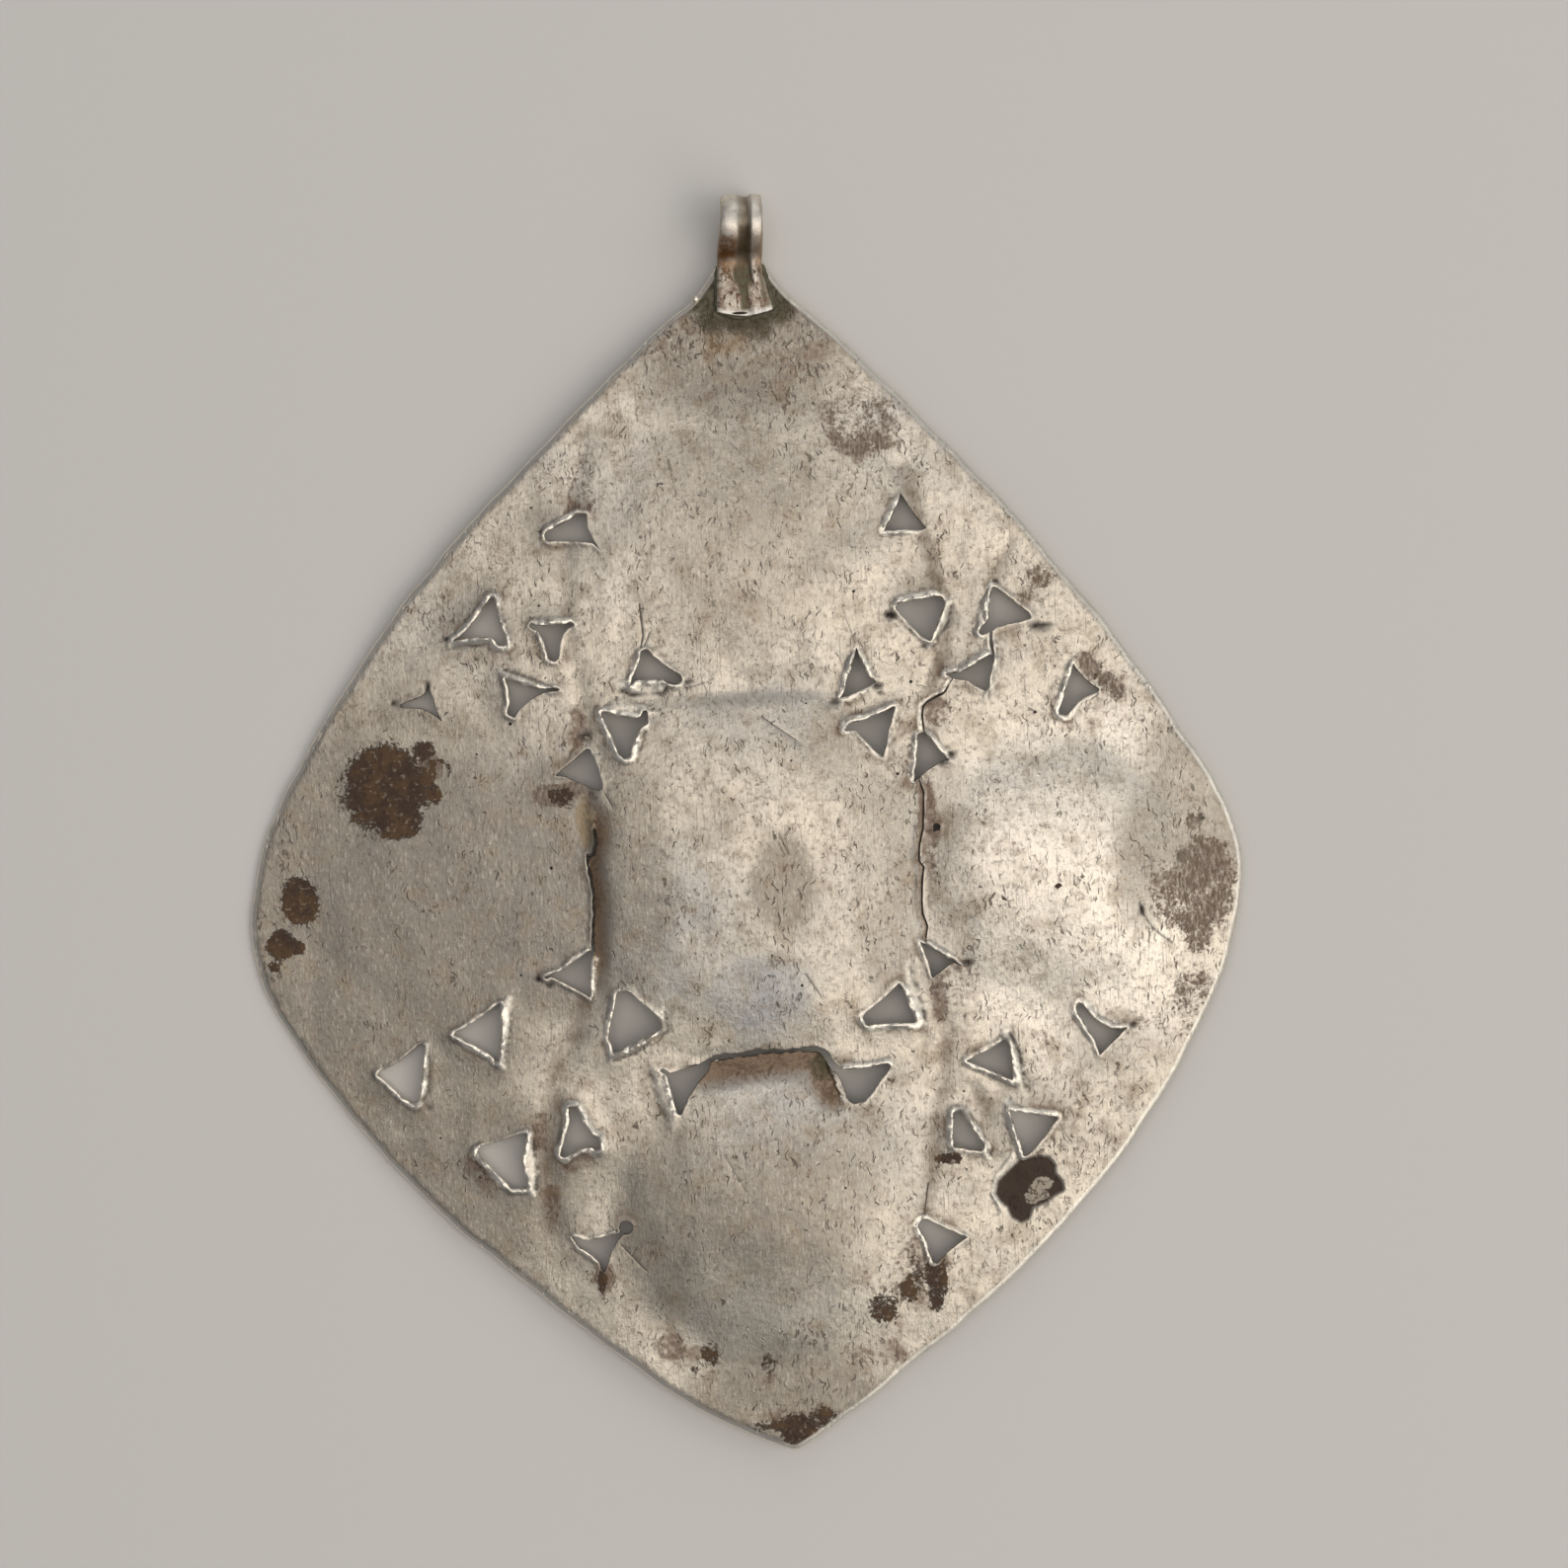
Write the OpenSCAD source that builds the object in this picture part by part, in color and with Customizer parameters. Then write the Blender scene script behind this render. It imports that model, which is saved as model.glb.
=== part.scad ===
// Lozenge pendant: one hammered sheet with five bosses, pierced triangles and a soldered bail.
// It lies flat with its bosses up. X runs across, Y towards the bail and Z up, out of the bosses.
// The origin is on the ground, midway across the width and midway along the length.

/* [Sheet] */
// Thickness of the hammered sheet
sheet_t = 0.8; // [0.6:0.1:1.1]
// Height of the highest of the four outer bosses above the sheet
boss_h = 2; // [1.6:0.1:3]
// Height of the middle boss above the sheet
middle_boss_h = 1.6; // [1.4:0.1:3]

/* [Piercing] */
// Width of the three slits where the fields tore apart
slit_w = 0.6; // [0.3:0.1:0.8]
// Width of the hair cracks between the triangles
crack_w = 0.2; // [0.15:0.05:0.3]
// Number of straight steps along each bowed side of a triangle
bow_steps = 4; // [2:1:6]
// Width of the chased grooves beside the middle column
groove_w = 1.4; // [0.8:0.1:1.8]
// Depth of the chased grooves
groove_depth = 0.25; // [0.1:0.05:0.35]

/* [Bail] */
// Thickness of the bent strip
strip_t = 0.8; // [0.6:0.1:0.9]
// Radius of the round eye
eye_r = 1.9; // [1.6:0.1:2]
// Height of the two ridges above the groove between them
ridge_h = 0.25; // [0.1:0.05:0.35]
// Radius of the bend between the eye and the leg
bend_r = 1.2; // [0.8:0.1:1.6]

/* [Hidden] */

mid_z = sheet_t / 2;
// How far a cutter reaches past both faces of the sheet
cut_over = 2;
// The width of the step wall round the middle field
step_wall = 0.4;

// Corners of the sheet, going down the left side and up the right.
// Columns: x, y, how far the edge bulges out on its way to the next corner
CORNERS = [
    [0.2, 51.6, -0.1],
    [-2.5, 47.9, 0],
    [-4.2, 47, 0.1],
    [-24, 28.4, 0.75],
    [-40.1, 7.7, 0.8],
    [-45.4, -5.7, 1.05],
    [-42.8, -16.7, 0.9],
    [-27, -36.5, 0.15],
    [-9.7, -51, 0.45],
    [2.2, -57.5, 0.4],
    [14, -49.3, 0.55],
    [29.2, -36.3, 1.05],
    [43.5, -15.2, 0.55],
    [45.6, -4.3, 0.4],
    [42.2, 4, 0.75],
    [24.3, 29.4, 0.3],
    [8.4, 46.5, -0.4],
    [4.2, 51.6, 0],
];
edge_steps = 6;

// The four outer bosses. Columns: x, y, radius at the sheet, height as a share of boss_h
BOSSES = [
    [1.5, 26.5, 14, 0.6],
    [-27, -6, 12.5, 0.4],
    [28.6, -5.5, 12.3, 0.9],
    [1.5, -35.2, 14.2, 1],
];

// The middle field, a rounded rectangle over a wide shallow dome
middle_x = 1.1;
middle_y = -4.1;
middle_w = 30.2;
middle_h = 32.4;
middle_corner_r = 9;
dome_x = 0.4;
dome_y = -4;
dome_r = 17.4;

// The pierced triangles, cut with a chisel by eye.
// Columns: x and y of each of the three corners, how far the sides bow inwards
TRIANGLES = [
    [-16.9, 27.1, -11.6, 25.7, -13.4, 29.2, 0.4],
    [-25.8, 17.9, -21.1, 17.2, -21.9, 22.1, 0.35],
    [-18.7, 19.2, -16.5, 15.6, -14.5, 19.2, 0.45],
    [-21.2, 14.6, -20.7, 10.7, -16.3, 13, 0.5],
    [-31, 12.3, -27, 10.6, -28.4, 14.5, 0.5],
    [-9.7, 13, -4.8, 13.5, -8.3, 16.7, 0.4],
    [-12.5, 10.9, -10.3, 6.4, -8.1, 11, 0.3],
    [-17, 5.3, -12.5, 3.6, -13.8, 7.8, 0.4],
    [14, 26.3, 18.2, 26.4, 15.8, 29.6, 0.3],
    [14.8, 19.5, 17.9, 15.8, 19.4, 20.2, 0.15],
    [22.3, 16.6, 27.2, 17.8, 24, 20.8, 0.35],
    [19.4, 12.9, 22.8, 11.2, 23.6, 15.2, 0.35],
    [30.9, 13.5, 29.4, 8.7, 33.2, 10.8, 0.3],
    [9.4, 11.3, 12.9, 12.4, 11.1, 15.7, 0.3],
    [9.7, 8.3, 13, 5.7, 14.5, 10.3, 0.3],
    [15.9, 3.2, 19.2, 5.1, 16.9, 7.9, 0.2],
    [-18.5, -13.2, -14.5, -15.1, -14.1, -10.6, 0.35],
    [-27.4, -18, -23.3, -20.7, -22.8, -15.2, 0.2],
    [-34.6, -21.4, -31.2, -24.2, -30.1, -18.8, 0.25],
    [-12.9, -20.4, -8.2, -18, -11.9, -14.5, 0.1],
    [-25.8, -28.6, -21.5, -32.6, -20.9, -27.2, 0.1],
    [-18.1, -29.4, -14.2, -28.9, -16.6, -24.9, 0.6],
    [-8.4, -22.2, -6.8, -26.2, -4, -21.3, 0.3],
    [-17.3, -37, -14.4, -40.3, -12.6, -36.4, 0.7],
    [15.9, -11.4, 16.7, -14.9, 19.1, -13.4, 0.3],
    [10.2, -18.5, 15.2, -18.9, 13.7, -14.9, 0.35],
    [29.8, -17.7, 31.7, -22.5, 34.4, -20.2, 0.45],
    [19.5, -22.5, 23.8, -24.6, 22.9, -20.5, 0.15],
    [7.5, -22.3, 9.3, -25.9, 12.8, -22.6, 0.25],
    [18, -30.4, 21, -30.8, 18.5, -26.7, 0.35],
    [23.2, -27.1, 24.4, -31.7, 27.7, -28, 0.15],
    [14.6, -36.8, 16, -41, 19, -38.6, 0.6],
];

// The small round hole that the punch left beside one triangle
punch_x = -12.3;
punch_y = -36.4;
punch_r = 0.6;

// Slits along the middle field. Each row is a route, from triangle to triangle
SLITS = [
    [[-13.9, 0.8], [-14.1, -2], [-14.2, -6], [-14.2, -10.9]],
    [[-4.6, -21.5], [-3.4, -21], [0, -20.6], [4, -20.6], [6.2, -20.8], [7.8, -22.5]],
];

// Hair cracks, each from triangle to triangle
CRACKS = [
    [[16.1, 3.6], [16.7, 2], [16.5, -0.4], [16, -3.6], [16.2, -5], [16, -8], [16.3, -11.8]],
    [[20.2, 12.8], [19.6, 11.9], [18.5, 11], [17, 10.1], [16.9, 7.5]],
    [[22.7, 16.9], [23.5, 15.8], [23.5, 14.8]],
];

// Lines chased along both sides of the middle column, from end to end
GROOVES = [
    [[-13, 36], [-14, 29.5], [-15, 22], [-14, 14], [-13.6, 8.5]],
    [[16.4, 32], [17.2, 26.5], [18.6, 22], [19.8, 17.5], [17.8, 13.5], [17.2, 11]],
    [[25.8, 24.8], [24.4, 22.4], [23.8, 20]],
    [[-14.8, -14], [-17, -20], [-18.6, -24], [-19.5, -29], [-19.4, -36]],
    [[16.6, -14], [17.2, -17], [18.2, -20], [17.2, -25.5], [16.6, -32], [16.5, -36.5]],
];

// The bail: the strip leaves the tip of the sheet, turns round the eye and comes back along the top
eye_x = 2.4;
eye_y = 54.8;
loop_r = eye_r + strip_t;
eye_z = loop_r;
leg_y = 46.2;
tip_y = 51.6;
groove_left_x = 2.35;
groove_right_x = 3.2;
strip_side_x = 4;

// Outline of the strip seen from above. Columns: x, y
STRIP = [
    [0.6, 58],
    [0.5, 55.5],
    [0.1, 52.4],
    [-0.15, 47.1],
    [1.7, 46.5],
    [4.95, 47.2],
    [4.15, 51.4],
    [4.35, 55],
    [4.3, 58],
];

// Radius of the sphere whose cap has radius base_r and height cap_h
function cap_radius(base_r, cap_h) = (base_r * base_r + cap_h * cap_h) / (2 * cap_h);

// Point at share t of the way from a to b, bulging to the right of the way by bulge at the middle
function bulged(a, b, bulge, t) =
    let (along = b - a, right = [along[1], -along[0]] / norm(along))
    a + along * t - right * bulge * 4 * t * (1 - t);

function corner_point(i) = [CORNERS[i][0], CORNERS[i][1]];

function edge_points(i) =
    let (next = (i + 1) % len(CORNERS))
    [for (k = [0:edge_steps - 1])
        bulged(corner_point(i), corner_point(next), -CORNERS[i][2], k / edge_steps)];

function side_points(a, b, bow) = [for (k = [0:bow_steps - 1]) bulged(a, b, bow, k / bow_steps)];

function triangle_points(row) =
    let (a = [row[0], row[1]], b = [row[2], row[3]], c = [row[4], row[5]])
    concat(side_points(a, b, row[6]), side_points(b, c, row[6]), side_points(c, a, row[6]));

// Point number i of a route, moved sideways
function beside(route, i, side) =
    let (from = route[max(i - 1, 0)], to = route[min(i + 1, len(route) - 1)])
    let (along = (to - from) / norm(to - from))
    route[i] + side * [-along[1], along[0]];

function band_points(route, w) = concat(
    [for (i = [0:len(route) - 1]) beside(route, i, w / 2)],
    [for (i = [len(route) - 1:-1:0]) beside(route, i, -w / 2)]
);

function arc_points(centre, r, from, to, steps) =
    [for (k = [0:steps]) centre + r * [cos(from + (to - from) * k / steps),
                                       sin(from + (to - from) * k / steps)]];

function rounded_points(w, h, r) = concat(
    arc_points([w / 2 - r, h / 2 - r], r, 0, 90, 8),
    arc_points([r - w / 2, h / 2 - r], r, 90, 180, 8),
    arc_points([r - w / 2, r - h / 2], r, 180, 270, 8),
    arc_points([w / 2 - r, r - h / 2], r, 270, 360, 8)
);

// The strip's side view in y and in height above the eye's axis, with the outer face lowered by drop
function strip_side(drop) =
    let (r = loop_r - drop, bend = bend_r + drop)
    let (leg = sheet_t + strip_t - drop - eye_z)
    let (bend_y = eye_y - sqrt(pow(r + bend, 2) - pow(leg + bend, 2)))
    let (meet = atan2(leg + bend, bend_y - eye_y))
    concat(
        [[leg_y, leg]],
        arc_points([bend_y, leg + bend], bend, -90, meet - 180, 5),
        arc_points([eye_y, 0], r, meet - 8, -90, 22),
        [[tip_y - 0.4, -r], [tip_y - 0.4, mid_z - eye_z], [leg_y, mid_z - eye_z]]
    );

module sheet_blank() {
    linear_extrude(sheet_t)
        polygon([for (i = [0:len(CORNERS) - 1]) each edge_points(i)]);
}

// Everything above the given height
module above(bottom) {
    translate([-60, -60, bottom])
        cube([120, 120, 20]);
}

// A boss as its outer cap (shrink 0) or as the hollow under it (shrink sheet_t)
module round_cap(x, y, base_r, cap_h, shrink) {
    r = cap_radius(base_r, cap_h);
    translate([x, y, sheet_t + cap_h - r])
        sphere(r - shrink, $fn = 96);
}

module middle_prism(grow) {
    translate([middle_x, middle_y, -cut_over])
        linear_extrude(2 * cut_over + sheet_t + middle_boss_h)
            polygon(rounded_points(middle_w + 2 * grow, middle_h + 2 * grow, middle_corner_r + grow));
}

module bosses() {
    for (row = BOSSES)
        intersection() {
            round_cap(row[0], row[1], row[2], boss_h * row[3], 0);
            above(mid_z);
        }
    intersection() {
        round_cap(dome_x, dome_y, dome_r, middle_boss_h, 0);
        middle_prism(step_wall);
        above(mid_z);
    }
}

module hollows() {
    for (row = BOSSES)
        intersection() {
            round_cap(row[0], row[1], row[2], boss_h * row[3], sheet_t);
            above(-cut_over);
        }
    intersection() {
        round_cap(dome_x, dome_y, dome_r, middle_boss_h, sheet_t);
        middle_prism(0);
    }
}

// A cutter that goes right through the sheet and its bosses
module through(points) {
    translate([0, 0, -cut_over])
        linear_extrude(sheet_t + boss_h + 2 * cut_over)
            polygon(points);
}

module triangles() {
    for (row = TRIANGLES)
        through(triangle_points(row));
    translate([punch_x, punch_y, -cut_over])
        cylinder(h = sheet_t + 2 * cut_over, r = punch_r, $fn = 32);
}

module slits() {
    for (route = SLITS)
        through(band_points(route, slit_w));
    for (route = CRACKS)
        through(band_points(route, crack_w));
}

module grooves() {
    for (route = GROOVES)
        translate([0, 0, sheet_t - groove_depth])
            linear_extrude(cut_over)
                polygon(band_points(route, groove_w));
}

module sheet() {
    difference() {
        union() {
            sheet_blank();
            bosses();
        }
        hollows();
        triangles();
        slits();
        grooves();
    }
}

// A slice of the bail from x = left to x = right, with its outer face lowered by drop
module strip_slice(left, right, drop) {
    translate([left, 0, eye_z])
        rotate([90, 0, 90])
            linear_extrude(right - left)
                polygon(strip_side(drop));
}

module bail() {
    difference() {
        intersection() {
            union() {
                strip_slice(eye_x - strip_side_x, groove_left_x, 0);
                strip_slice(groove_left_x - 0.1, groove_right_x + 0.1, ridge_h);
                strip_slice(groove_right_x, eye_x + strip_side_x, 0);
            }
            linear_extrude(eye_z + loop_r)
                polygon(STRIP);
        }
        translate([eye_x - strip_side_x - cut_over, eye_y, eye_z])
            rotate([0, 90, 0])
                cylinder(h = 2 * (strip_side_x + cut_over), r = eye_r, $fn = 96);
    }
}

// The sheet and the bail are soldered together, so they are one solid
module pendant() {
    color("silver") {
        sheet();
        bail();
    }
}

pendant();
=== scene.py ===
import math
import bmesh
import bpy
import numpy as np
from mathutils import Matrix, Vector
from mathutils.bvhtree import BVHTree
from mathutils.geometry import delaunay_2d_cdt
from mathutils.kdtree import KDTree


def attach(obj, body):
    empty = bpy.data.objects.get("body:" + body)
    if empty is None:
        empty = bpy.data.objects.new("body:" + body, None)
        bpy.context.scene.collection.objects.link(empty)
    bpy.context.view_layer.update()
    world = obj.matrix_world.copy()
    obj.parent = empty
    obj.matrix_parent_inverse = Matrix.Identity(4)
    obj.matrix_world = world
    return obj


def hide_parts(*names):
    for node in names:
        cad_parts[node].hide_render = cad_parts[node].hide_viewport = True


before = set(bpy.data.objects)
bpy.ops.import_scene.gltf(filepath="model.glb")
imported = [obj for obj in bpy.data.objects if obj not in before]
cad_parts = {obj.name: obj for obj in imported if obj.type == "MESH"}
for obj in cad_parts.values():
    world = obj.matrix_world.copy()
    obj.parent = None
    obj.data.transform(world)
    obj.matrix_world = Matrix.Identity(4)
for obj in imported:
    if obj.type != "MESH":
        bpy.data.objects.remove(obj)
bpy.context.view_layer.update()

mm = 0.001
chance = np.random.default_rng(11)

print("tables")
# outline, anticlockwise from the left of the tip: x, y, outward bulge of the side to the next corner
outlineRows = [
    (0.2, 51.6, -0.1), (-2.5, 47.9, 0), (-4.2, 47, 0.1), (-24, 28.4, 0.75), (-40.1, 7.7, 0.8),
    (-45.4, -5.7, 1.05), (-42.8, -16.7, 0.9), (-27, -36.5, 0.15), (-9.7, -51, 0.45), (2.2, -57.5, 0.4),
    (14, -49.3, 0.55), (29.2, -36.3, 1.05), (43.5, -15.2, 0.55), (45.6, -4.3, 0.4), (42.2, 4, 0.75),
    (24.3, 29.4, 0.3), (8.4, 46.5, -0.4), (4.2, 51.6, 0),
]

# chiselled holes, anticlockwise: x, y, inward bow of the side to the next corner, size of its lip
holeRows = [
    [(-16.95, 27.25, 0, 0.5), (-16.65, 26.7, 0.12, 0.45), (-12.5, 26.35, 0, 0.3),
     (-11.65, 25.45, 0.15, 0.25), (-12.95, 28.1, 0, 0.3), (-12.85, 29.05, 0, 0.7),
     (-13.95, 29.15, 0, 0.8), (-14.4, 28.75, 0.05, 1), (-16.7, 27.7, 0, 0.9)],
    [(-25.8, 18, 0.1, 1.1), (-22.1, 18.2, 0, 1.1), (-21.6, 17.4, 0, 1), (-20.75, 17.45, 0, 1),
     (-20.75, 17.9, 0.2, 1), (-21.7, 21.9, 0, 0.9), (-22.15, 21.95, 0.15, 1), (-24.9, 18.6, 0, 0.8)],
    [(-18.7, 19.1, 0, 0.3), (-18.5, 18.8, 0, 0.4), (-17.9, 18.6, 0.15, 0.7), (-17.1, 16, 0, 0.6),
     (-16.5, 15.65, 0, 0.5), (-16, 16.1, 0.1, 0.4), (-15.5, 18.3, 0.1, 0.5), (-14.6, 18.85, 0, 0.6),
     (-14.55, 19.15, 0, 0.8), (-14.95, 19.35, 0, 0.9), (-15.3, 19.1, 0, 1.2), (-18, 19.1, 0, 0.9),
     (-18.4, 19.4, 0, 0.4)],
    [(-21.15, 14.5, 0.12, 1), (-20.8, 12.1, 0, 0.9), (-21.1, 11.1, 0, 0.7), (-20.4, 10.65, 0, 0.5),
     (-20, 11.3, 0.15, 0.2), (-17.6, 12.85, 0, 0.3), (-16.1, 13.05, 0, 0.3), (-16.15, 13.27, 0, 0.5),
     (-17.6, 13.32, 0.1, 1.2), (-19.6, 13.75, 0, 1.2)],
    [(-31, 12.4, 0, 0.1), (-30.9, 12.15, 0, 0.1), (-29, 11.95, 0.1, 0.15), (-27, 10.65, 0.1, 0.1),
     (-27.75, 12.9, 0.05, 0.1), (-28.25, 14.4, 0.1, 0.1), (-28.7, 13.2, 0, 0.15)],
    [(-9.65, 13.1, 0, 0.9), (-9.2, 13.6, 0, 1.1), (-6.6, 13.6, 0, 0.8), (-6, 13.2, 0, 0.8),
     (-5.4, 13, 0, 0.9), (-4.85, 13.4, 0, 0.4), (-5, 14, 0, 0.3), (-5.6, 14.3, 0.1, 0.5),
     (-8, 16.5, 0, 0.3), (-8.5, 16.35, 0.1, 0.8), (-9.5, 13.9, 0, 0.8)],
    [(-12.5, 10.85, 0.05, 1), (-11, 7, 0, 1), (-10.4, 6.45, 0, 0.9), (-9.9, 6.6, 0.08, 1.2),
     (-9, 9.2, 0, 0.9), (-8.1, 9.6, 0, 0.3), (-8.2, 10.9, 0, 0.4), (-8.6, 10.9, 0, 0.5),
     (-8.8, 10.35, 0, 1), (-9.3, 10.2, 0, 1.1), (-11, 10.5, 0, 1.1), (-12, 10.95, 0, 1)],
    [(-16.95, 5.2, 0, 0.3), (-16, 5.15, -0.05, 0.1), (-13.6, 3.9, 0, 0.1), (-12.85, 3.65, 0, 0.2),
     (-12.5, 4, -0.05, 0.5), (-13.6, 7.65, 0, 0.4), (-14, 7.6, 0.05, 0.2), (-16.2, 5.9, 0, 0.3)],
    [(14.05, 26.2, 0.1, 0.8), (17.5, 26.15, 0, 0.4), (18.1, 26.35, 0.05, 0.2), (16.35, 28.9, 0, 0.1),
     (15.8, 29.7, 0, 0.3), (15.55, 29, 0.1, 1.1)],
    [(14.8, 19.25, -0.05, 0.5), (17.2, 16.4, 0, 0.5), (18, 15.9, 0.05, 0.7), (19.5, 19.4, 0, 0.6),
     (19.2, 20.1, 0, 0.7), (18.5, 20.2, 0.05, 1.1), (15.1, 19.65, 0, 0.9)],
    [(22.3, 16.65, 0, 0.8), (22.6, 16.3, 0, 0.5), (23.6, 16.6, 0.1, 0.4), (24.4, 17.05, 0.05, 0.3),
     (26.4, 17.4, 0, 0.5), (27.3, 17.7, 0, 0.7), (27.2, 18.1, -0.05, 0.4), (24.3, 20.55, 0, 0.5),
     (23.85, 20.8, 0, 1), (23.5, 19.5, -0.05, 1.2), (23.35, 17.8, 0, 1)],
    [(19.1, 12.95, 0, 0.5), (20.1, 12.4, 0, 0.2), (21.2, 12.25, -0.05, 0.3), (22.8, 11.2, 0, 0.4),
     (23.15, 11.4, 0.1, 0.7), (23.8, 14.3, 0, 0.6), (23.3, 14.6, 0.05, 1.2), (20.6, 13.05, 0, 1)],
    [(30.9, 13.5, 0.05, 1), (29.35, 9.1, 0, 0.8), (29.4, 8.75, 0, 0.8), (30.2, 8.65, 0, 0.7),
     (30.9, 9.6, 0.15, 0.6), (33.1, 10.7, 0, 0.3), (33.2, 11, 0.25, 0.3)],
    [(11.15, 15.8, 0, 0.3), (10.9, 14.9, 0.05, 1.2), (10, 12.6, 0, 1.2), (9.9, 11.9, 0, 0.8),
     (9.35, 11.1, 0, 0.6), (10.3, 11.35, 0, 0.7), (12.4, 12.2, 0, 0.4), (12.9, 12.5, 0, 0.4),
     (12.3, 13, 0.08, 0.9), (11.4, 15, 0, 0.6)],
    [(9.7, 8.2, 0, 0.6), (10.8, 8.1, -0.05, 0.6), (12.9, 5.7, 0, 0.5), (13.2, 5.6, 0.05, 0.6),
     (14.5, 10.3, 0.05, 0.8), (11.2, 9.05, 0, 1), (10.1, 8.8, 0, 1)],
    [(15.85, 3.15, 0, 0.2), (16.6, 3.8, 0.05, 0.2), (18.5, 4.95, 0, 0.3), (19.2, 5.05, 0.05, 0.8),
     (17, 7.8, 0, 0.3), (16.45, 7.6, 0, 0.9)],
    [(-18.85, -13.1, 0, 0.6), (-18.5, -13.35, 0, 0.5), (-18.1, -13.05, 0, 0.6), (-14.95, -14.9, 0, 0.3),
     (-14.6, -15.15, 0, 0.9), (-14.55, -12.9, 0, 1.2), (-14.05, -10.75, 0, 0.5),
     (-14.5, -10.8, 0.05, 0.7), (-17.6, -12.7, 0, 0.7)],
    [(-27.4, -18, 0.1, 1), (-23.8, -20.2, 0, 0.8), (-23.6, -20.7, 0, 0.8), (-23.2, -20.65, 0, 1.3),
     (-22.8, -15.3, 0, 0.7), (-23.1, -15.3, 0.12, 0.6)],
    [(-34.6, -21.45, 0.1, 0.9), (-32.3, -23.65, 0, 0.8), (-31.4, -24.25, 0, 0.9), (-30.9, -24.15, 0, 1),
     (-29.95, -19, 0, 0.5), (-30.2, -18.75, 0, 0.3), (-30.6, -18.8, 0, 0.4), (-32.4, -20.2, 0, 0.3),
     (-34.3, -21.05, 0, 0.6)],
    [(-12.15, -14.75, 0, 0.8), (-13.2, -19, 0, 0.6), (-12.9, -19.35, 0, 0.9), (-12.75, -20.4, 0, 1.3),
     (-9, -18.7, 0, 1.1), (-8.25, -18.1, 0, 1.1), (-8.4, -17.3, 0, 0.9), (-9.1, -16.5, 0, 0.5),
     (-11.3, -14.6, 0, 0.5)],
    [(-25.75, -28.85, 0, 1.2), (-22.6, -32.4, 0, 0.9), (-21.05, -32.4, 0.1, 0.9), (-21.5, -29.2, 0, 1),
     (-20.9, -27.3, 0, 0.8), (-21.9, -27.35, 0.1, 0.3), (-25.3, -28.3, 0, 0.9)],
    [(-18.15, -29.5, 0, 0.6), (-17.6, -29.75, 0, 1.1), (-16.2, -28.95, 0, 1.2), (-15.1, -28.8, 0, 1.1),
     (-14.8, -29.2, 0, 1.2), (-14.3, -29, 0, 1.2), (-14.45, -27.95, 0, 1.2), (-15.1, -27.7, 0.05, 1.2),
     (-16.3, -25.1, 0, 1.1), (-17.05, -25.05, 0, 1.1), (-17.05, -26.5, 0, 1.1)],
    [(-8.6, -22.15, 0, 0.5), (-7.95, -22.5, 0, 1), (-7.15, -26.1, 0, 0.7), (-6.8, -26.25, 0, 0.2),
     (-6.3, -25.2, 0.15, 0.1), (-4.1, -22.4, 0, 0.1), (-3.7, -21, 0, 0.2), (-5, -21.65, 0, 0.3),
     (-7.7, -22.35, 0, 0.5), (-8.4, -21.85, 0, 0.3)],
    [(7.2, -22.6, 0, 0.1), (7.9, -23.6, 0, 0.2), (8.5, -25.5, 0, 0.3), (9, -25.95, 0, 0.3),
     (10.1, -25.75, 0, 0.5), (12.6, -22.75, 0, 0.7), (12.45, -22.35, 0.1, 1), (8.1, -22.7, 0, 0.9)],
    [(-17.4, -36.9, 0, 0.4), (-16.8, -37.9, 0.1, 0.7), (-14.9, -39.4, 0, 0.4), (-14.75, -40.1, 0, 0.2),
     (-14.4, -40.4, 0, 0.2), (-13.9, -39, 0.1, 0.2), (-12.8, -37.2, 0, 0.2), (-12.3, -36.65, 0, 0.3),
     (-12.85, -36.65, 0, 0.5), (-13.4, -36.85, 0, 0.6), (-15.9, -37.35, 0, 0.6)],
    [(15.75, -11.35, 0, 0.7), (16.5, -13.6, 0, 0.6), (16.7, -14.85, 0.05, 0.2), (18.7, -13.45, 0, 0.2),
     (19.5, -13.8, 0, 0.5), (18.6, -13.1, 0.1, 1), (16.5, -11.7, 0, 0.6)],
    [(13.65, -15.05, 0.08, 0.5), (10.5, -17.6, 0, 0.7), (10.1, -18.15, 0, 0.9), (10.55, -18.85, 0.1, 0.9),
     (15.1, -18.8, 0, 1.2), (14, -15.5, 0, 0.7)],
    [(29.65, -18.1, 0, 0.9), (30.2, -19.2, 0, 0.9), (31.2, -21, 0, 0.6), (31.7, -22.6, 0, 0.4),
     (33.3, -21.1, 0, 0.4), (34.4, -20.1, 0, 0.7), (32.9, -20.2, 0, 1), (31.1, -19, 0, 1),
     (30.6, -18, 0, 0.9), (30.2, -17.65, 0, 0.9), (29.8, -17.7, 0, 0.9)],
    [(19.4, -22.45, 0, 0.9), (23.75, -24.45, 0.05, 1.3), (23.5, -21.2, 0, 0.9), (23.1, -20.55, 0.1, 0.6),
     (20.5, -22, 0, 0.5)],
    [(23.15, -27.15, 0.05, 1.2), (24.3, -31.5, 0, 0.4), (24.7, -31.5, -0.1, 0.5), (27.7, -28.1, 0, 0.5),
     (27.6, -27.95, 0.05, 0.9)],
    [(18.05, -27.05, 0, 1), (17.9, -30.35, 0, 0.5), (20.6, -30.85, 0, 0.9), (20.85, -30.35, 0, 1),
     (19.2, -27.7, 0, 0.8), (18.75, -26.95, 0, 0.8)],
    [(14.35, -37.4, 0, 1), (14.95, -38.4, 0, 1), (15.6, -40.8, 0, 0.7), (16, -40.95, 0, 0.3),
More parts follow.
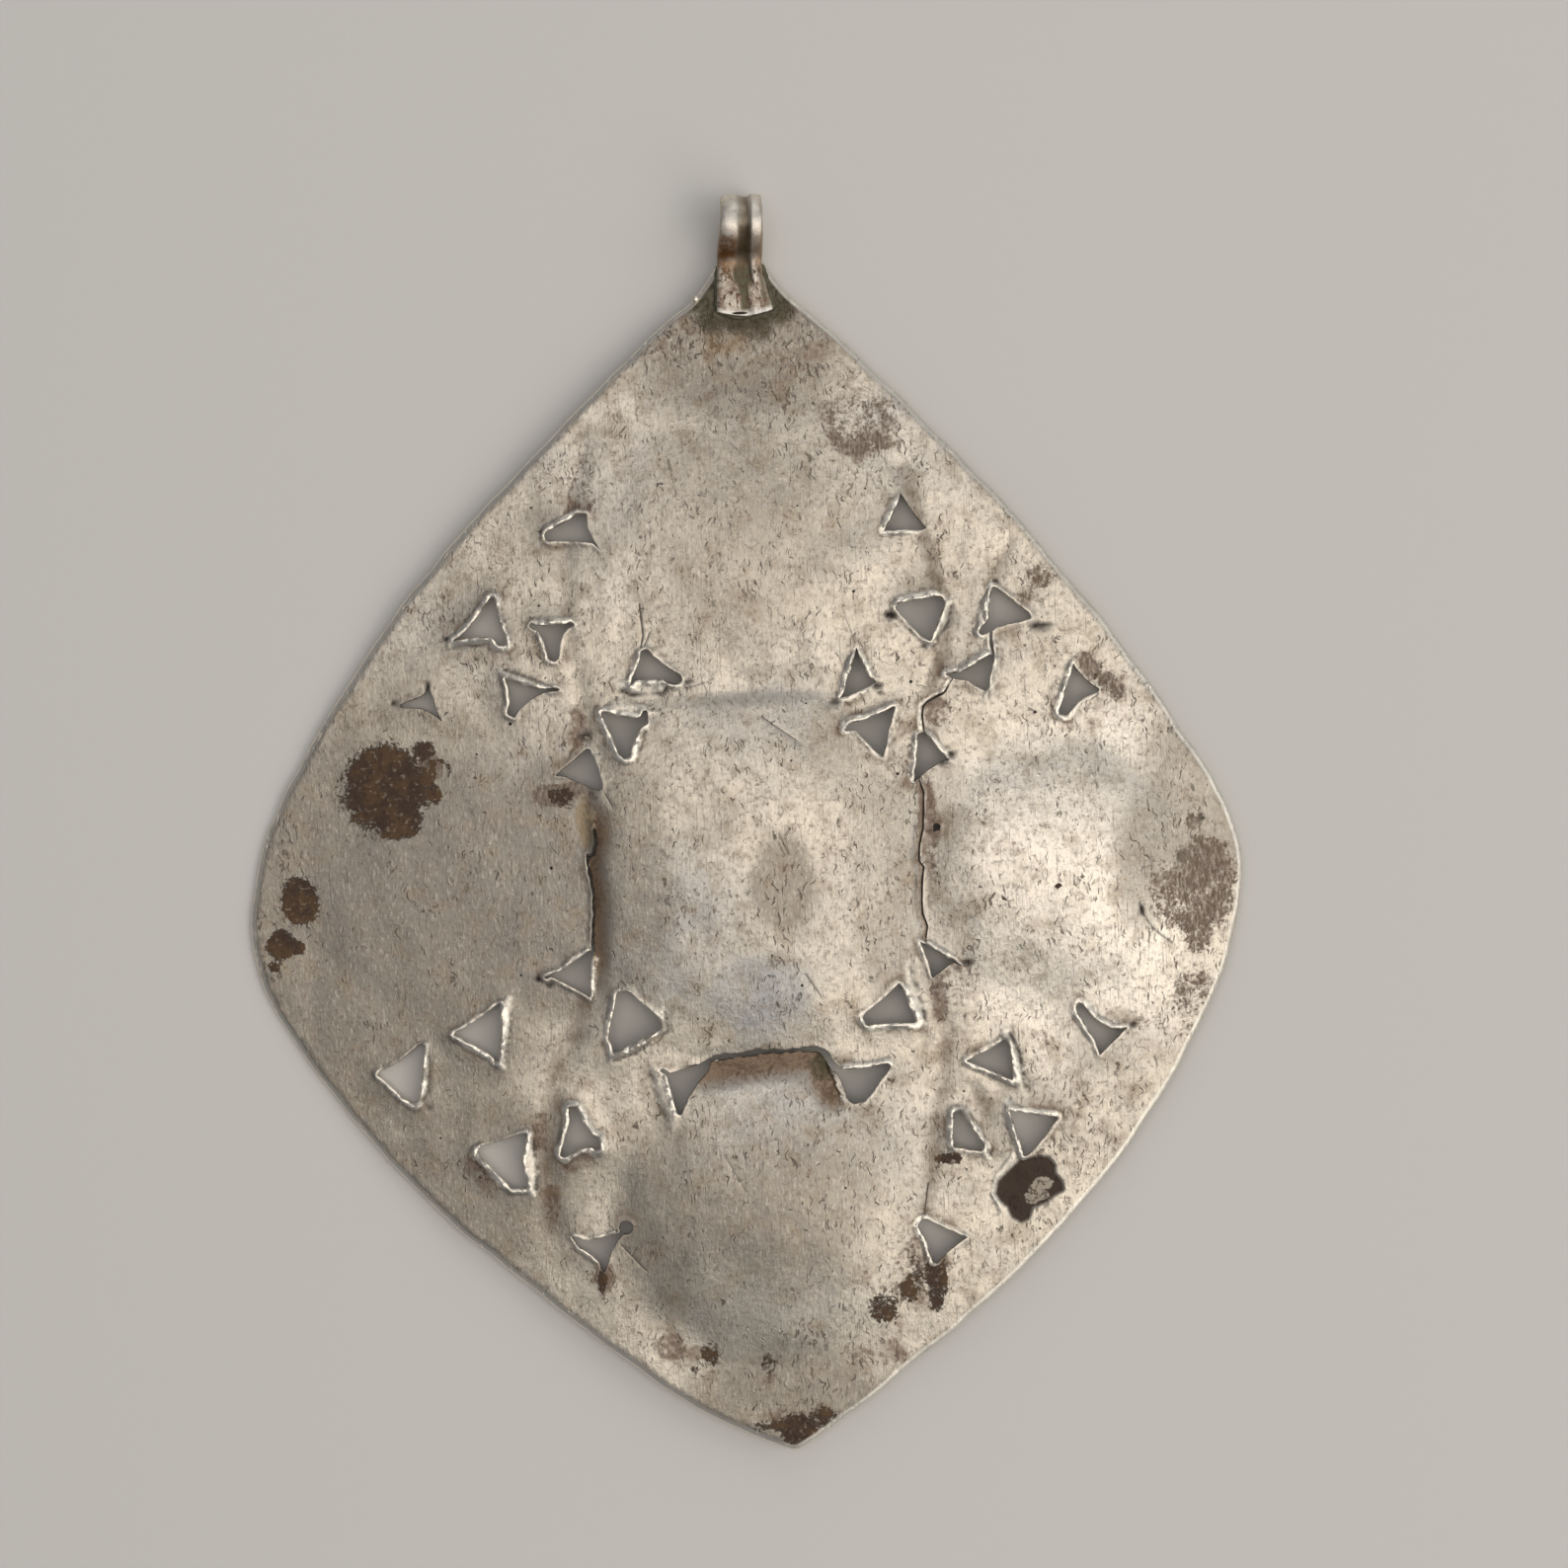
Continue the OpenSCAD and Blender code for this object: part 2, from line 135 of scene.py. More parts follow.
     (17, -39.9, 0, 0.4), (18.9, -38.6, 0.08, 0.6), (15.3, -36.85, 0, 0.9), (14.7, -36.75, 0, 1)],
]

# places where the fields tore apart, as narrow holes with the same columns
tearRows = [
    [(-13.6, 0.2, 0, 0.2), (-13.6, -1, 0, 0.25), (-13.9, -1.95, 0, 0.3), (-14.35, -1.95, 0, 0.3),
     (-14.45, -3, 0, 0.35), (-14.15, -4.5, 0, 0.35), (-14, -6, 0, 0.35), (-14.1, -8, 0, 0.35),
     (-14.25, -10, 0, 0.3), (-14.2, -11, 0, 0.3), (-13.95, -11, 0, 0.06), (-13.98, -10, 0, 0.06),
     (-13.8, -8, 0, 0.06), (-13.7, -6, 0, 0.06), (-13.85, -4.5, 0, 0.06), (-14.12, -3, 0, 0.06),
     (-14.05, -2.45, 0, 0.06), (-13.5, -2.25, 0, 0.06), (-13.3, -1, 0, 0.06), (-13.45, 0.2, 0, 0.06)],
    [(-3.9, -21.5, 0, 0.06), (-1, -21.25, 0, 0.06), (2, -21, 0, 0.06), (5, -20.98, 0, 0.06),
     (6.15, -21.15, 0, 0.06), (6.65, -21.85, 0, 0.06), (7.15, -23, 0, 0.06), (8, -22.8, 0, 0.3),
     (7.3, -21.8, 0, 0.3), (6.9, -21, 0, 0.25), (6, -20.5, 0, 0.18), (5, -20.48, 0, 0.15),
     (3.2, -20.62, 0, 0.15), (2, -20.5, 0, 0.12), (0.4, -20.5, 0, 0.15), (-1, -20.72, 0, 0.15),
     (-2.4, -20.72, 0, 0.15), (-3.6, -20.95, 0, 0.2)],
    [(17.45, -1.4, 0, 0.17), (17.95, -1.3, 0, 0.17), (18, -0.9, 0, 0.17), (17.75, -0.7, 0, 0.17),
     (17.4, -0.85, 0, 0.17)],
]

# hair cracks: width, lip of the left side, lip of the right side, route
rightTear = [
    (16.4, 3.3), (16.7, 2.2), (16.6, 0.6), (16.5, -1), (16.1, -2.6), (16, -4), (16.4, -4.6),
    (16.2, -5.8), (16.1, -7.6), (16.1, -8.8), (16.5, -10), (16.3, -11.1),
]
upperTear = [(19.9, 12.6), (19, 11.2), (17.6, 10.6), (17, 10.1), (16.9, 9), (17, 7.6)]
crackRows = [
    (0.15, 0.35, 0.15, rightTear), (0.16, 0.2, 0.8, upperTear),
    (0.34, 0.4, 0.6, [(23.5, 16.8), (23.45, 15.5), (23.6, 14.9), (23.6, 14.2)]),
]
punchSpot = (-12.3, -36.3, 0.65)     # x, y, radius of the round hole

# bosses hammered up from below: x, y, radius of the foot, height
bossRows = [
    (1.5, 26.5, 14.2, 1.0), (-27, -6, 12.8, 0.25), (28.6, -5.5, 12.6, 1.5), (1.5, -35.2, 14.3, 1.8),
]
# the middle field is a rounded square, and the top of its dome lies a little off its centre
middleField = {
    "centre": (1.1, -4.6), "half": (15.3, 16.9), "corner": 8.5, "dome": (0.4, -4), "reach": 18.5,
}

# troughs chased along the middle column: depth, half width, route
troughRows = [
    (0.6, 0.9, [(-13, 36), (-13.6, 32), (-14.2, 29.5), (-15, 25), (-15.2, 20), (-14.4, 14),
     (-13.6, 8.5)]),
    (0.9, 0.8, [(16.2, 32), (16.9, 29), (17.4, 26.5), (18.4, 22.5), (19.9, 18), (18.8, 14.5),
     (17.4, 11)]),
    (0.7, 0.7, [(25.8, 24.8), (24.4, 22.4), (23.8, 20)]),
    (0.8, 1.3, [(-14.6, -13.5), (-16.8, -19.5), (-18.4, -24), (-19.3, -29), (-19.2, -36)]),
    (0.8, 1.1, [(16.4, -13.5), (17.2, -17), (18, -20), (17.2, -25), (15.9, -31), (15, -37)]),
    (0.7, 0.6, [(14, -13.7), (15.4, -18), (15.9, -20.5)]),
    (0.7, 0.7, [(20.2, -25.4), (21, -28), (21.6, -31.4)]),
    (1.2, 0.35, [(19.8, 16.8), (18.9, 15.3), (18.2, 14.2)]),
    (0.6, 0.6, [(9.8, 9.6), (11.5, 9.9), (13.4, 10.8)]),
    (0.5, 0.6, [(0, 13.6), (3, 13.2), (6, 13.9)]),
    (0.6, 0.8, [(20.4, -22.9), (23, -25.1), (25, -25.2)]),
    (0.5, 0.6, [(8.6, 11), (9.3, 12.6), (9.9, 13.8)]),
]

# broad lips folded over beside a hole: width, crease beyond it, and the route of the outer line with
# the lip on its left
flapRows = [
    (1, 1, [(-10.4, 12.8), (-9.8, 12.4), (-8.1, 12.2), (-6.7, 12.4), (-6.3, 12.9)]),
    (0.9, 0.5, [(-8.1, 11.2), (-8.5, 11.5), (-11.2, 11.9), (-12.3, 11.3)]),
    (0.8, 0.7, [(-9.2, 7.3), (-8.2, 9.4)]),
    (0.7, 0.8, [(-17, 13.4), (-18.6, 14.2), (-20.1, 14.8), (-21.2, 15.2)]),
    (0.6, 0.7, [(-25.8, 17.4), (-24, 17.5), (-22.3, 17.7)]),
    (0.8, 0.8, [(18.2, 15.7), (19.6, 17.6), (20, 19.1)]),
    (0.6, 0.3, [(23.5, 21), (22.4, 18.6), (22.1, 16.8)]),
    (0.5, 0.6, [(23, 10.6), (23.7, 13), (24, 15.2)]),
    (0.9, 1, [(24.8, -25), (24.4, -22.1), (23.6, -20.1)]),
    (0.8, 0.6, [(21.3, -31), (20.7, -29), (19.6, -27.2)]),
    (0.9, 0.8, [(15.9, -18.4), (15.4, -16.2), (14.8, -13.8)]),
    (0.8, 0.2, [(22.9, -26.9), (23.4, -29.6), (23.7, -30.8)]),
    (0.9, 0.8, [(-20.4, -32.5), (-20.2, -30.5), (-20.5, -28)]),
    (0.8, 0.5, [(-22.7, -20.8), (-22.1, -17.9), (-21.8, -15.4)]),
    (1, 0.6, [(-9.4, -22.2), (-8.9, -24.4), (-8, -26.8)]),
    (0.6, 0.6, [(-30.7, -24.4), (-29.9, -23.2), (-29.7, -19.1)]),
    (0.6, 0.8, [(-12.7, -21), (-10.6, -20.3), (-7.6, -18.5), (-7.8, -16.7)]),
    (0.6, 0, [(23, -31.4), (21.5, -33.1), (21.1, -34.8), (21.7, -36)]),
]

# bands that bent down beside a tear: depth, width, brown, side (1 is left of the way), route
bandRows = [
    (0.3, 1.6, 0.9, -1, [(-14, -12), (-14, -10), (-13.8, -8), (-13.7, -6), (-13.8, -4.6), (-14.1, -3.2),
     (-13.9, -2.2), (-13.4, -1), (-13.5, 1.2)]),
    (0.4, 2.7, 1.4, -1, [(-4.4, -21.6), (-1, -21.2), (2, -20.95), (5, -20.95), (6.2, -21.2), (6.7, -22),
     (7.4, -24)]),
    (0.2, 0.8, 0.45, -1, rightTear), (0.35, 0.9, 0.7, -1, upperTear),
]

# scratches: depth, route
scratchRows = [
    (1, [(-8.55, 16.6), (-8.3, 17.7), (-8.5, 20.5)]), (0.8, [(-8.2, 16.8), (-7.7, 17.8)]),
    (0.8, [(-12.4, 3.4), (-11.7, 2.2)]), (0.5, [(21.1, 24.1), (21.8, 22.6), (22.4, 21)]),
    (0.6, [(11, 16.2), (10, 19.5)]), (0.8, [(2.2, 9.8), (5.3, 7.5)]), (0.7, [(3.3, -1), (4.2, -3)]),
    (0.7, [(5.2, -14), (6.5, -16)]), (1, [(35.9, -8.8), (36.3, -9.9)]),
    (0.75, [(36.3, -9.9), (37, -11), (37.8, -11.8), (38.6, -12.4)]), (1, [(15.5, -33.5), (15, -36.4)]),
    (0.7, [(-4.6, 12.7), (-3, 13.1)]), (0.5, [(0.5, 35), (3, 32.2)]), (0.5, [(-3, -30), (-1.2, -33.4)]),
    (0.8, [(-12.8, -37.9), (-11.9, -38.9), (-10.6, -40.4)]),
    (0.7, [(-11.3, -38), (-11.7, -38.6), (-12, -39.1)]), (0.5, [(-11.6, -38.5), (-10.8, -38.1)]),
]

# stains and tones of each layer, two of which also paint highlight and shade: x, y, half width, half
# height, strength
stainRows = {
    "nick": [
        (14.36, 18.55, 0.55, 0.3, 1), (28.1, 17, 0.9, 0.3, 0.9), (19.3, 5.6, 0.35, 0.25, 0.9),
        (24, 21.2, 0.3, 0.2, 0.9), (36.1, -9.4, 0.15, 0.4, 0.8), (-28.3, 14, 0.2, 0.4, 0.7),
        (18.4, 5, 0.3, 0.3, 0.8), (17.6, 15.6, 0.45, 0.2, 0.9), (12.9, 12.2, 0.4, 0.25, 0.9),
        (13.2, 11.5, 0.3, 0.2, 0.8), (9, 10.9, 0.4, 0.3, 0.7), (-19.2, -13.2, 0.35, 0.25, 1),
        (-18.3, -13.8, 0.3, 0.2, 0.8), (-14, 8.8, 0.5, 0.4, 0.9), (-31.4, 12.6, 0.35, 0.15, 0.9),
        (-26.3, 18.2, 0.3, 0.2, 0.9), (-4.4, 13.3, 0.4, 0.2, 0.7), (34.8, -19.9, 0.35, 0.2, 0.8),
        (19.9, -13.5, 0.5, 0.25, 0.8), (-29.9, -24.6, 0.3, 0.3, 0.6),
    ],
    "crust": [
        (-32.6, 4.8, 3.5, 3.5, 1), (-31.6, 2.2, 2.2, 1.9, 0.9), (-30.4, 6.6, 1.2, 1.3, 0.6),
        (-28.9, 8.1, 1.1, 0.9, 0.7), (-28.2, 6.1, 0.25, 0.9, 0.7), (-26.6, 6.2, 0.2, 0.8, 0.7),
        (-27.4, 7.1, 0.7, 0.2, 0.7), (-28, 4.1, 0.5, 0.9, 0.75), (-40.95, -5, 1.45, 1.9, 1),
        (-42.8, -9, 1.2, 1.2, 0.9), (-41.4, -9.45, 0.6, 0.6, 0.9), (-43.6, -11.1, 0.45, 0.45, 0.9),
        (-16.4, 3.4, 1.2, 0.8, 0.7), (17.6, -31.3, 1.1, 0.5, 0.8), (15.9, -42.4, 0.9, 3, 0.7),
        (14.4, -41.4, 1.2, 1.6, 0.5), (13.2, -43.2, 0.8, 1.2, 0.55), (10.8, -44.7, 1.4, 1.4, 0.6),
        (-14.7, -41.2, 0.4, 1.3, 0.8), (-5.1, -48.2, 0.9, 1.3, 0.5), (-6.4, -49.8, 0.7, 0.8, 0.45),
        (0.2, -49.5, 0.8, 1.3, 0.5), (2.6, -55.7, 1.6, 1.4, 0.9), (5, -54.6, 1.3, 0.9, 0.6),
        (0.2, -55.2, 1.8, 0.6, 0.55), (23.8, -8, 0.7, 0.7, 0.35), (28.5, -6.9, 0.4, 0.4, 0.7),
        (-25.3, -29.8, 0.5, 1.6, 0.6), (33.4, 12.1, 0.7, 1.2, 0.35),
    ],
    "scale": [
        (-28.6, 6.6, 1.2, 1.2, 1), (-16.9, 3.5, 1.9, 0.9, 1.2), (-15.4, 3.9, 1, 0.6, 1),
        (42, -7.2, 2.6, 3.8, 0.9), (39.6, -8.6, 2.8, 2.2, 0.58), (41, -11.4, 1.4, 1.8, 0.8),
        (41.2, -1.6, 0.6, 0.6, 0.9), (40.6, -18, 2.4, 3.2, 0.42), (36.8, -19.6, 1.5, 1.2, 0.4),
        (38, -6.5, 2, 2.2, 0.4), (28.3, 21.6, 1.5, 1.2, 0.55), (27, 19.6, 1, 0.8, 0.4),
        (31.8, 13.7, 0.7, 0.8, 0.7), (32.8, 12.7, 0.8, 0.9, 0.8), (33.8, 11.8, 0.8, 0.9, 0.8),
        (34.7, 10.9, 0.8, 0.8, 0.7), (12.4, 35.9, 3.2, 3, 0.55),
    ],
    "grime": [
        (14, -42, 3, 3.8, 0.9), (-9.6, -38, 1.2, 1.6, 0.8), (-14.6, -41, 1, 1.8, 1),
        (-16.5, -30, 1.4, 1.2, 1), (-25.4, -30.6, 1.6, 1.6, 0.9), (-19, -34, 0.9, 2, 1),
        (-19.6, -27, 0.9, 2, 0.9), (-8.8, -47.4, 1.5, 1.5, 1.2), (-5.6, -48.9, 1.8, 2, 0.9),
        (0.1, -49.8, 1.4, 2, 0.9), (11.5, -48.8, 1.5, 1.4, 1), (8.6, -48.8, 1.6, 1.6, 0.9),
        (3, -54.6, 3.6, 1.6, 1), (12.4, 35.9, 4, 4, 0.8), (10, 41, 3.5, 4.5, 0.6),
        (-13.5, 31.5, 1.4, 3.4, 0.8), (-16, 32.5, 2, 2, 0.6), (-27.2, 21, 1.8, 1.6, 0.7),
        (-5, 44.5, 3.4, 2.6, 0.9), (6, 42.5, 3.4, 2.2, 0.8), (17, -1, 1, 4.4, 0.9),
        (19.5, -15, 1.8, 2.2, 0.7), (1.5, 40.5, 6, 4, 0.65), (35, -14, 5, 6, 0.35), (36, 10, 6, 6, 0.25),
        (30, -30, 7, 6, 0.4), (-22, 24, 6, 5, 0.3), (5, -48, 9, 5, 0.4), (14, 5, 3, 5, 0.35),
        (18.3, 9.6, 1.2, 1.4, 1), (-14.7, 9.6, 0.8, 2.2, 1), (12, -33, 4, 6, 0.3), (-8, -44, 6, 4, 0.3),
        (1.5, 44.9, 3.6, 1.7, 1), (6.6, 46.6, 1.6, 1.8, 1), (3.4, -6, 2.2, 3.8, 0.45),
        (-1.5, -8, 2, 2, 0.6), (-13.9, 2.6, 0.5, 1.4, 1), (17.3, -16.8, 0.8, 2, 1.1),
    ],
    "flux": [
        (40.1, -4.7, 0.6, 0.65, 0.8), (42, -1.2, 0.45, 0.4, 0.8), (2.3, 48.5, 4.4, 3, 1.1),
        (-0.8, 46.6, 1.3, 1.3, 0.8), (5.7, 46.9, 1.2, 1.2, 0.7), (3.6, 44.8, 1.3, 0.9, 0.55),
        (6.4, -22.4, 1.3, 1.2, 0.8),
    ],
    "cool": [
        (0.3, -15.5, 4.5, 3.5, 0.8), (-18.5, -6, 4.5, 9, 0.9), (-8, -9, 7, 8, 0.6),
        (-28, -7, 12, 12, 0.5), (0, -27, 8, 5, 0.4),
    ],
    "tan": [
        (-14.4, 1, 0.7, 2.2, 1), (0.8, 44, 2, 1, 0.5), (1.3, 40.9, 1.5, 0.9, 0.4),
    ],
    # pale polish, with painted highlight on the right boss's slopes, the top boss's west side and the
    # edge beside the left slit
    "shine": [
        (-15.4, 0.6, 0.5, 1.2, 1.2), (30, -6, 11.5, 14, 1), (28, -14, 7, 4, 1.3), (28, 3.5, 5.5, 3.5, 1),
        (-8.5, 27, 5.5, 7, 0.45),
    ],
    # grey tarnish, with painted shade over the left wing, both tips and the slopes of the bosses
    "dull": [
        (19.5, -5, 2, 8, 0.3), (-33, -8, 14, 18, 1.05), (-18.5, -6, 5.5, 10, 1.3),
        (-26, -32, 9, 9, 0.85), (-22, 25, 7, 8, 0.3), (2, -54, 9, 6, 0.9), (2, 44, 9, 6, 1),
        (1, -47, 9, 3, 0.1), (1, 27, 9, 9, 0.6), (34, -26, 7, 5, 0.15), (36.5, -5.5, 2.5, 6, 0.6),
        (42, 0, 5, 9, 0.7), (12.5, -5, 2.5, 9, 0.35), (3.5, -5.5, 2.5, 4, 1), (-3, 1, 4, 3, 0.4),
        (8, 5, 3, 3, 0.4), (1.5, -35, 10, 7, 0.65), (-9, -35, 4, 9, 0.7), (-10, -4, 3.5, 9, 0.75),
        (11, -35, 4, 7, 0.2),
    ],
}

# sunk dark patch with its pale worn fleck, at the lower right
patchOutline = [
    (24, -31.7), (21.6, -33.9), (21.4, -34.7), (21.9, -35.4), (22.6, -36), (23, -37), (23.9, -37.5),
    (24.6, -37.2), (25, -36.2), (26, -35.9), (27, -35.2), (27.9, -34.8), (27.8, -33.9), (27.2, -33.2),
    (27.2, -32.4), (26.6, -31.6), (25.4, -31.5),
]
fleckRows = [
    (17.75, -31.5, 0.25, 0.2), (-13.9, 8.5, 0.25, 0.2), (26, -34, 0.85, 0.5), (25.3, -34.5, 0.6, 0.4),
    (25, -35.4, 0.6, 0.42), (25.9, -35.1, 0.6, 0.4), (24.6, -35, 0.3, 0.2),
]


def addNode(tree, kind, sockets=None, take=0, **settings):
    # one node, with its settings, its inputs set or linked, and the output that is wanted
    node = tree.nodes.new(kind)
    for name, value in settings.items():
        setattr(node, name, value)
    for key, value in (sockets or {}).items():
        if isinstance(value, bpy.types.NodeSocket):
            tree.links.new(value, node.inputs[key])
        else:
            node.inputs[key].default_value = value
    return node.outputs[take] if take is not None else node


def calc(tree, operation, *values):
    # sum, product or other reckoning on plain numbers
    return addNode(tree, "ShaderNodeMath", dict(enumerate(values)), operation=operation)


def vectorCalc(tree, operation, *values, scale=None, take=0):
    # the same on vectors
    sockets = dict(enumerate(values))
    if scale is not None:
        sockets["Scale"] = scale
    return addNode(tree, "ShaderNodeVectorMath", sockets, take=take, operation=operation)


def ramp(tree, value, start, end, low=0, high=1, smooth=False):
    # low where value is at start, high where it is at end, and level past both
    sockets = {0: value, 1: start, 2: end, 3: low, 4: high}
    kind = "SMOOTHSTEP" if smooth else "LINEAR"
    return addNode(tree, "ShaderNodeMapRange", sockets, interpolation_type=kind)


def mixed(tree, share, first, second):
    return addNode(tree, "ShaderNodeMix", {0: share, 2: first, 3: second})


def stored(tree, shape, name, value, kind="FLOAT"):
    # keeps a value on the points of the shape
    sockets = {"Geometry": shape, "Name": name, "Value": value}
    return addNode(tree, "GeometryNodeStoreNamedAttribute", sockets, data_type=kind)


def curveNode(tree, value, points, kind="ShaderNodeFloatCurve"):
    # value read through a curve drawn through the listed points
    out = addNode(tree, kind, {1: value})
    line = out.node.mapping.curves[0]
    for x, y in points[1:-1]:
        line.points.new(x, y)
    line.points[0].location = points[0]
    line.points[-1].location = points[-1]
    out.node.mapping.extend = "HORIZONTAL"     # level past its ends
    out.node.mapping.update()
    return out


def newTree(name, sockets):
    # a node group that takes a mesh or curve and the named inputs
    tree = bpy.data.node_groups.new(name, "GeometryNodeTree")
    tree.interface.new_socket("Geometry", in_out="INPUT", socket_type="NodeSocketGeometry")
    for key, kind in sockets.items():
        tree.interface.new_socket(key, in_out="INPUT", socket_type="NodeSocket" + kind)
    tree.interface.new_socket("Geometry", in_out="OUTPUT", socket_type="NodeSocketGeometry")
    return tree, tree.nodes.new("NodeGroupInput").outputs


def softEdges(tree, shape, angle):
    # smooth shading, with a crease where two faces meet at more than the angle
    bend = addNode(tree, "GeometryNodeInputMeshEdgeAngle")
    soft = addNode(tree, "FunctionNodeCompare", {0: bend, 1: angle}, operation="LESS_THAN")
    sockets = {"Geometry": shape, "Shade Smooth": soft}
    return addNode(tree, "GeometryNodeSetShadeSmooth", sockets, domain="EDGE")


def endTree(tree, shape, material):
    # the last nodes of every group
    shape = addNode(tree, "GeometryNodeRealizeInstances", {0: shape})
    shape = addNode(tree, "GeometryNodeSetMaterial", {"Geometry": shape, "Material": material})
    addNode(tree, "NodeGroupOutput", {0: shape}, take=None)


def runTree(obj, tree, values):
    # sets the inputs, evaluates once and returns a plain mesh piece in metres
    modifier = obj.modifiers.new(tree.name, "NODES")
    modifier.node_group = tree
    for item in tree.interface.items_tree:
        if item.in_out == "INPUT" and item.name in values:
            modifier[item.identifier] = values[item.name]
    graph = bpy.context.evaluated_depsgraph_get()
    shaped = obj.evaluated_get(graph)
    mesh = bpy.data.meshes.new_from_object(shaped, preserve_all_data_layers=True, depsgraph=graph)
    mesh.transform(Matrix.Scale(mm, 4))
    name = obj.name
    mesh.name = name
    bpy.data.objects.remove(obj)
    piece = bpy.data.objects.new(name, mesh)
    bpy.context.scene.collection.objects.link(piece)
    return piece


def hexToLinear(code):
    # sRGB hex to the linear colour that the shaders use
    parts = [int(code[i:i + 2], 16) / 255 for i in (1, 3, 5)]
    return tuple(c / 12.92 if c <= 0.04045 else ((c + 0.055) / 1.055) ** 2.4 for c in parts) + (1,)


def loopPoints(rows, step, bulgeSign):
    # dense closed polyline through the corners, each side bowed, and the lip size of every point
    points, lips = [], []
    for row, follow in zip(rows, rows[1:] + rows[:1]):
        a, along = np.array(row[:2]), np.array(follow[:2]) - np.array(row[:2])
        length = np.hypot(*along)
        count = max(1, round(length / step))
        t = np.arange(count)[:, None] / count
        left = np.array([-along[1], along[0]]) / length
        points.append(a + along * t + left * bulgeSign * row[2] * 4 * t * (1 - t))
        lips += [row[3] if len(row) > 3 else 0] * count
    return np.concatenate(points), np.array(lips, float)


def softened(values, passes):
    # closed row of values, averaged with their neighbours
    for _ in range(passes):
        values = (np.roll(values, 1, 0) + 2 * values + np.roll(values, -1, 0)) / 4
    return values


def loopNormals(loop):
    # to the right of the way at every point, which is outwards for an anticlockwise loop
    along = np.roll(loop, -1, 0) - np.roll(loop, 1, 0)
    along /= np.maximum(np.hypot(along[:, 0], along[:, 1]), 1e-9)[:, None]
    return np.stack([along[:, 1], -along[:, 0]], 1)


def handCut(loop, size, passes):
    # small unevenness that a hand tool leaves
    shake = softened(chance.normal(0, 1, len(loop)), passes)
    shake = np.clip(shake / max(shake.std(), 1e-9), -2, 2) * size
    return loop + loopNormals(loop) * shake[:, None]


def crackLoop(width, leftLip, rightLip, route):
    # a route widened to a narrow loop that tapers at both ends
    route = np.array(route, float)
    along = np.gradient(route, axis=0)
    side = np.stack([-along[:, 1], along[:, 0]], 1) / np.hypot(along[:, 0], along[:, 1])[:, None]
    half = np.full((len(route), 1), width / 2)
    half[0] = half[-1] = width / 3
    left, right = route + side * half, route - side * half
    return [(x, y, 0, leftLip) for x, y in left[::-1]] + [(x, y, 0, rightLip) for x, y in right]


def insideLoop(points, loop):
    # True for each point inside the closed polyline
    x, y = points[:, 0], points[:, 1]
    inside = np.zeros(len(points), bool)
    for (ax, ay), (bx, by) in zip(loop, np.roll(loop, 1, 0)):
        crosses = (ay > y) != (by > y)
        if ay != by:
            inside ^= crosses & (x < (bx - ax) * (y - ay) / (by - ay) + ax)
    return inside


def insideMetal(points):
    # inside the outline and outside every hole
    keep = insideLoop(points, outline)
    for hole in holes:
        low, high = hole.min(0), hole.max(0)
        near = np.nonzero(keep & (points > low).all(1) & (points < high).all(1))[0]
        keep[near[insideLoop(points[near], hole)]] = False
    return keep


def nearest(tree, points):
    # distance to the nearest point in a tree, and which one it is
    found = [tree.find((x, y, 0)) for x, y in points]
    return np.array([f[2] for f in found]), np.array([f[1] for f in found])


def treeOf(points):
    tree = KDTree(len(points))
    for i, (x, y) in enumerate(points):
        tree.insert((x, y, 0), i)
    tree.balance()
    return tree


def hexGrid(low, high, pitch):
    # staggered rows of points
    rows = []
    for k, y in enumerate(np.arange(low[1], high[1], pitch * 0.866)):
        x = np.arange(low[0] + (k % 2) * pitch / 2, high[0], pitch)
        rows.append(np.stack([x, np.full(len(x), y)], 1))
    return np.concatenate(rows)


def routeDistance(points, route):
    # distance to a route of straight parts, and how far to its left (negative is right)
    best = np.full(len(points), 1e9)
    side = np.zeros(len(points))
    for a, b in zip(np.array(route[:-1], float), np.array(route[1:], float)):
        along = b - a
        t = np.clip(((points - a) @ along) / (along @ along), 0, 1)
        off = points - a - t[:, None] * along
        d = np.hypot(off[:, 0], off[:, 1])
        turn = along[0] * (points[:, 1] - a[1]) - along[1] * (points[:, 0] - a[0])
        side = np.where(d < best, np.sign(turn) * d, side)
        best = np.minimum(best, d)
    return best, side


def triangulate(loops, extra):
    # flat triangles of the metal: the loops are kept as edges and the extra points fill the rest
    points = np.concatenate(loops + [extra])
    edges, start = [], 0
    for loop in loops:
        ids = np.arange(start, start + len(loop))
        edges += list(zip(ids.tolist(), np.roll(ids, -1).tolist()))
        start += len(loop)
    spots = [Vector(p) for p in points.tolist()]
    flat, _, faces, _, _, _ = delaunay_2d_cdt(spots, edges, [], 0, 1e-6, False)
    flat = np.array([tuple(p) for p in flat])
    faces = np.array([f for f in faces if len(f) == 3])
    corner = flat[faces]
    area = np.cross(corner[:, 1] - corner[:, 0], corner[:, 2] - corner[:, 0])
    faces[area < 0] = faces[area < 0][:, ::-1]
    faces = faces[np.abs(area) > 1e-7]
    faces = faces[insideMetal(flat[faces].mean(1))]
    used = np.unique(faces)
    renumber = np.full(len(flat), -1)
    renumber[used] = np.arange(len(used))
    return flat[used], renumber[faces]


print("outline and holes")
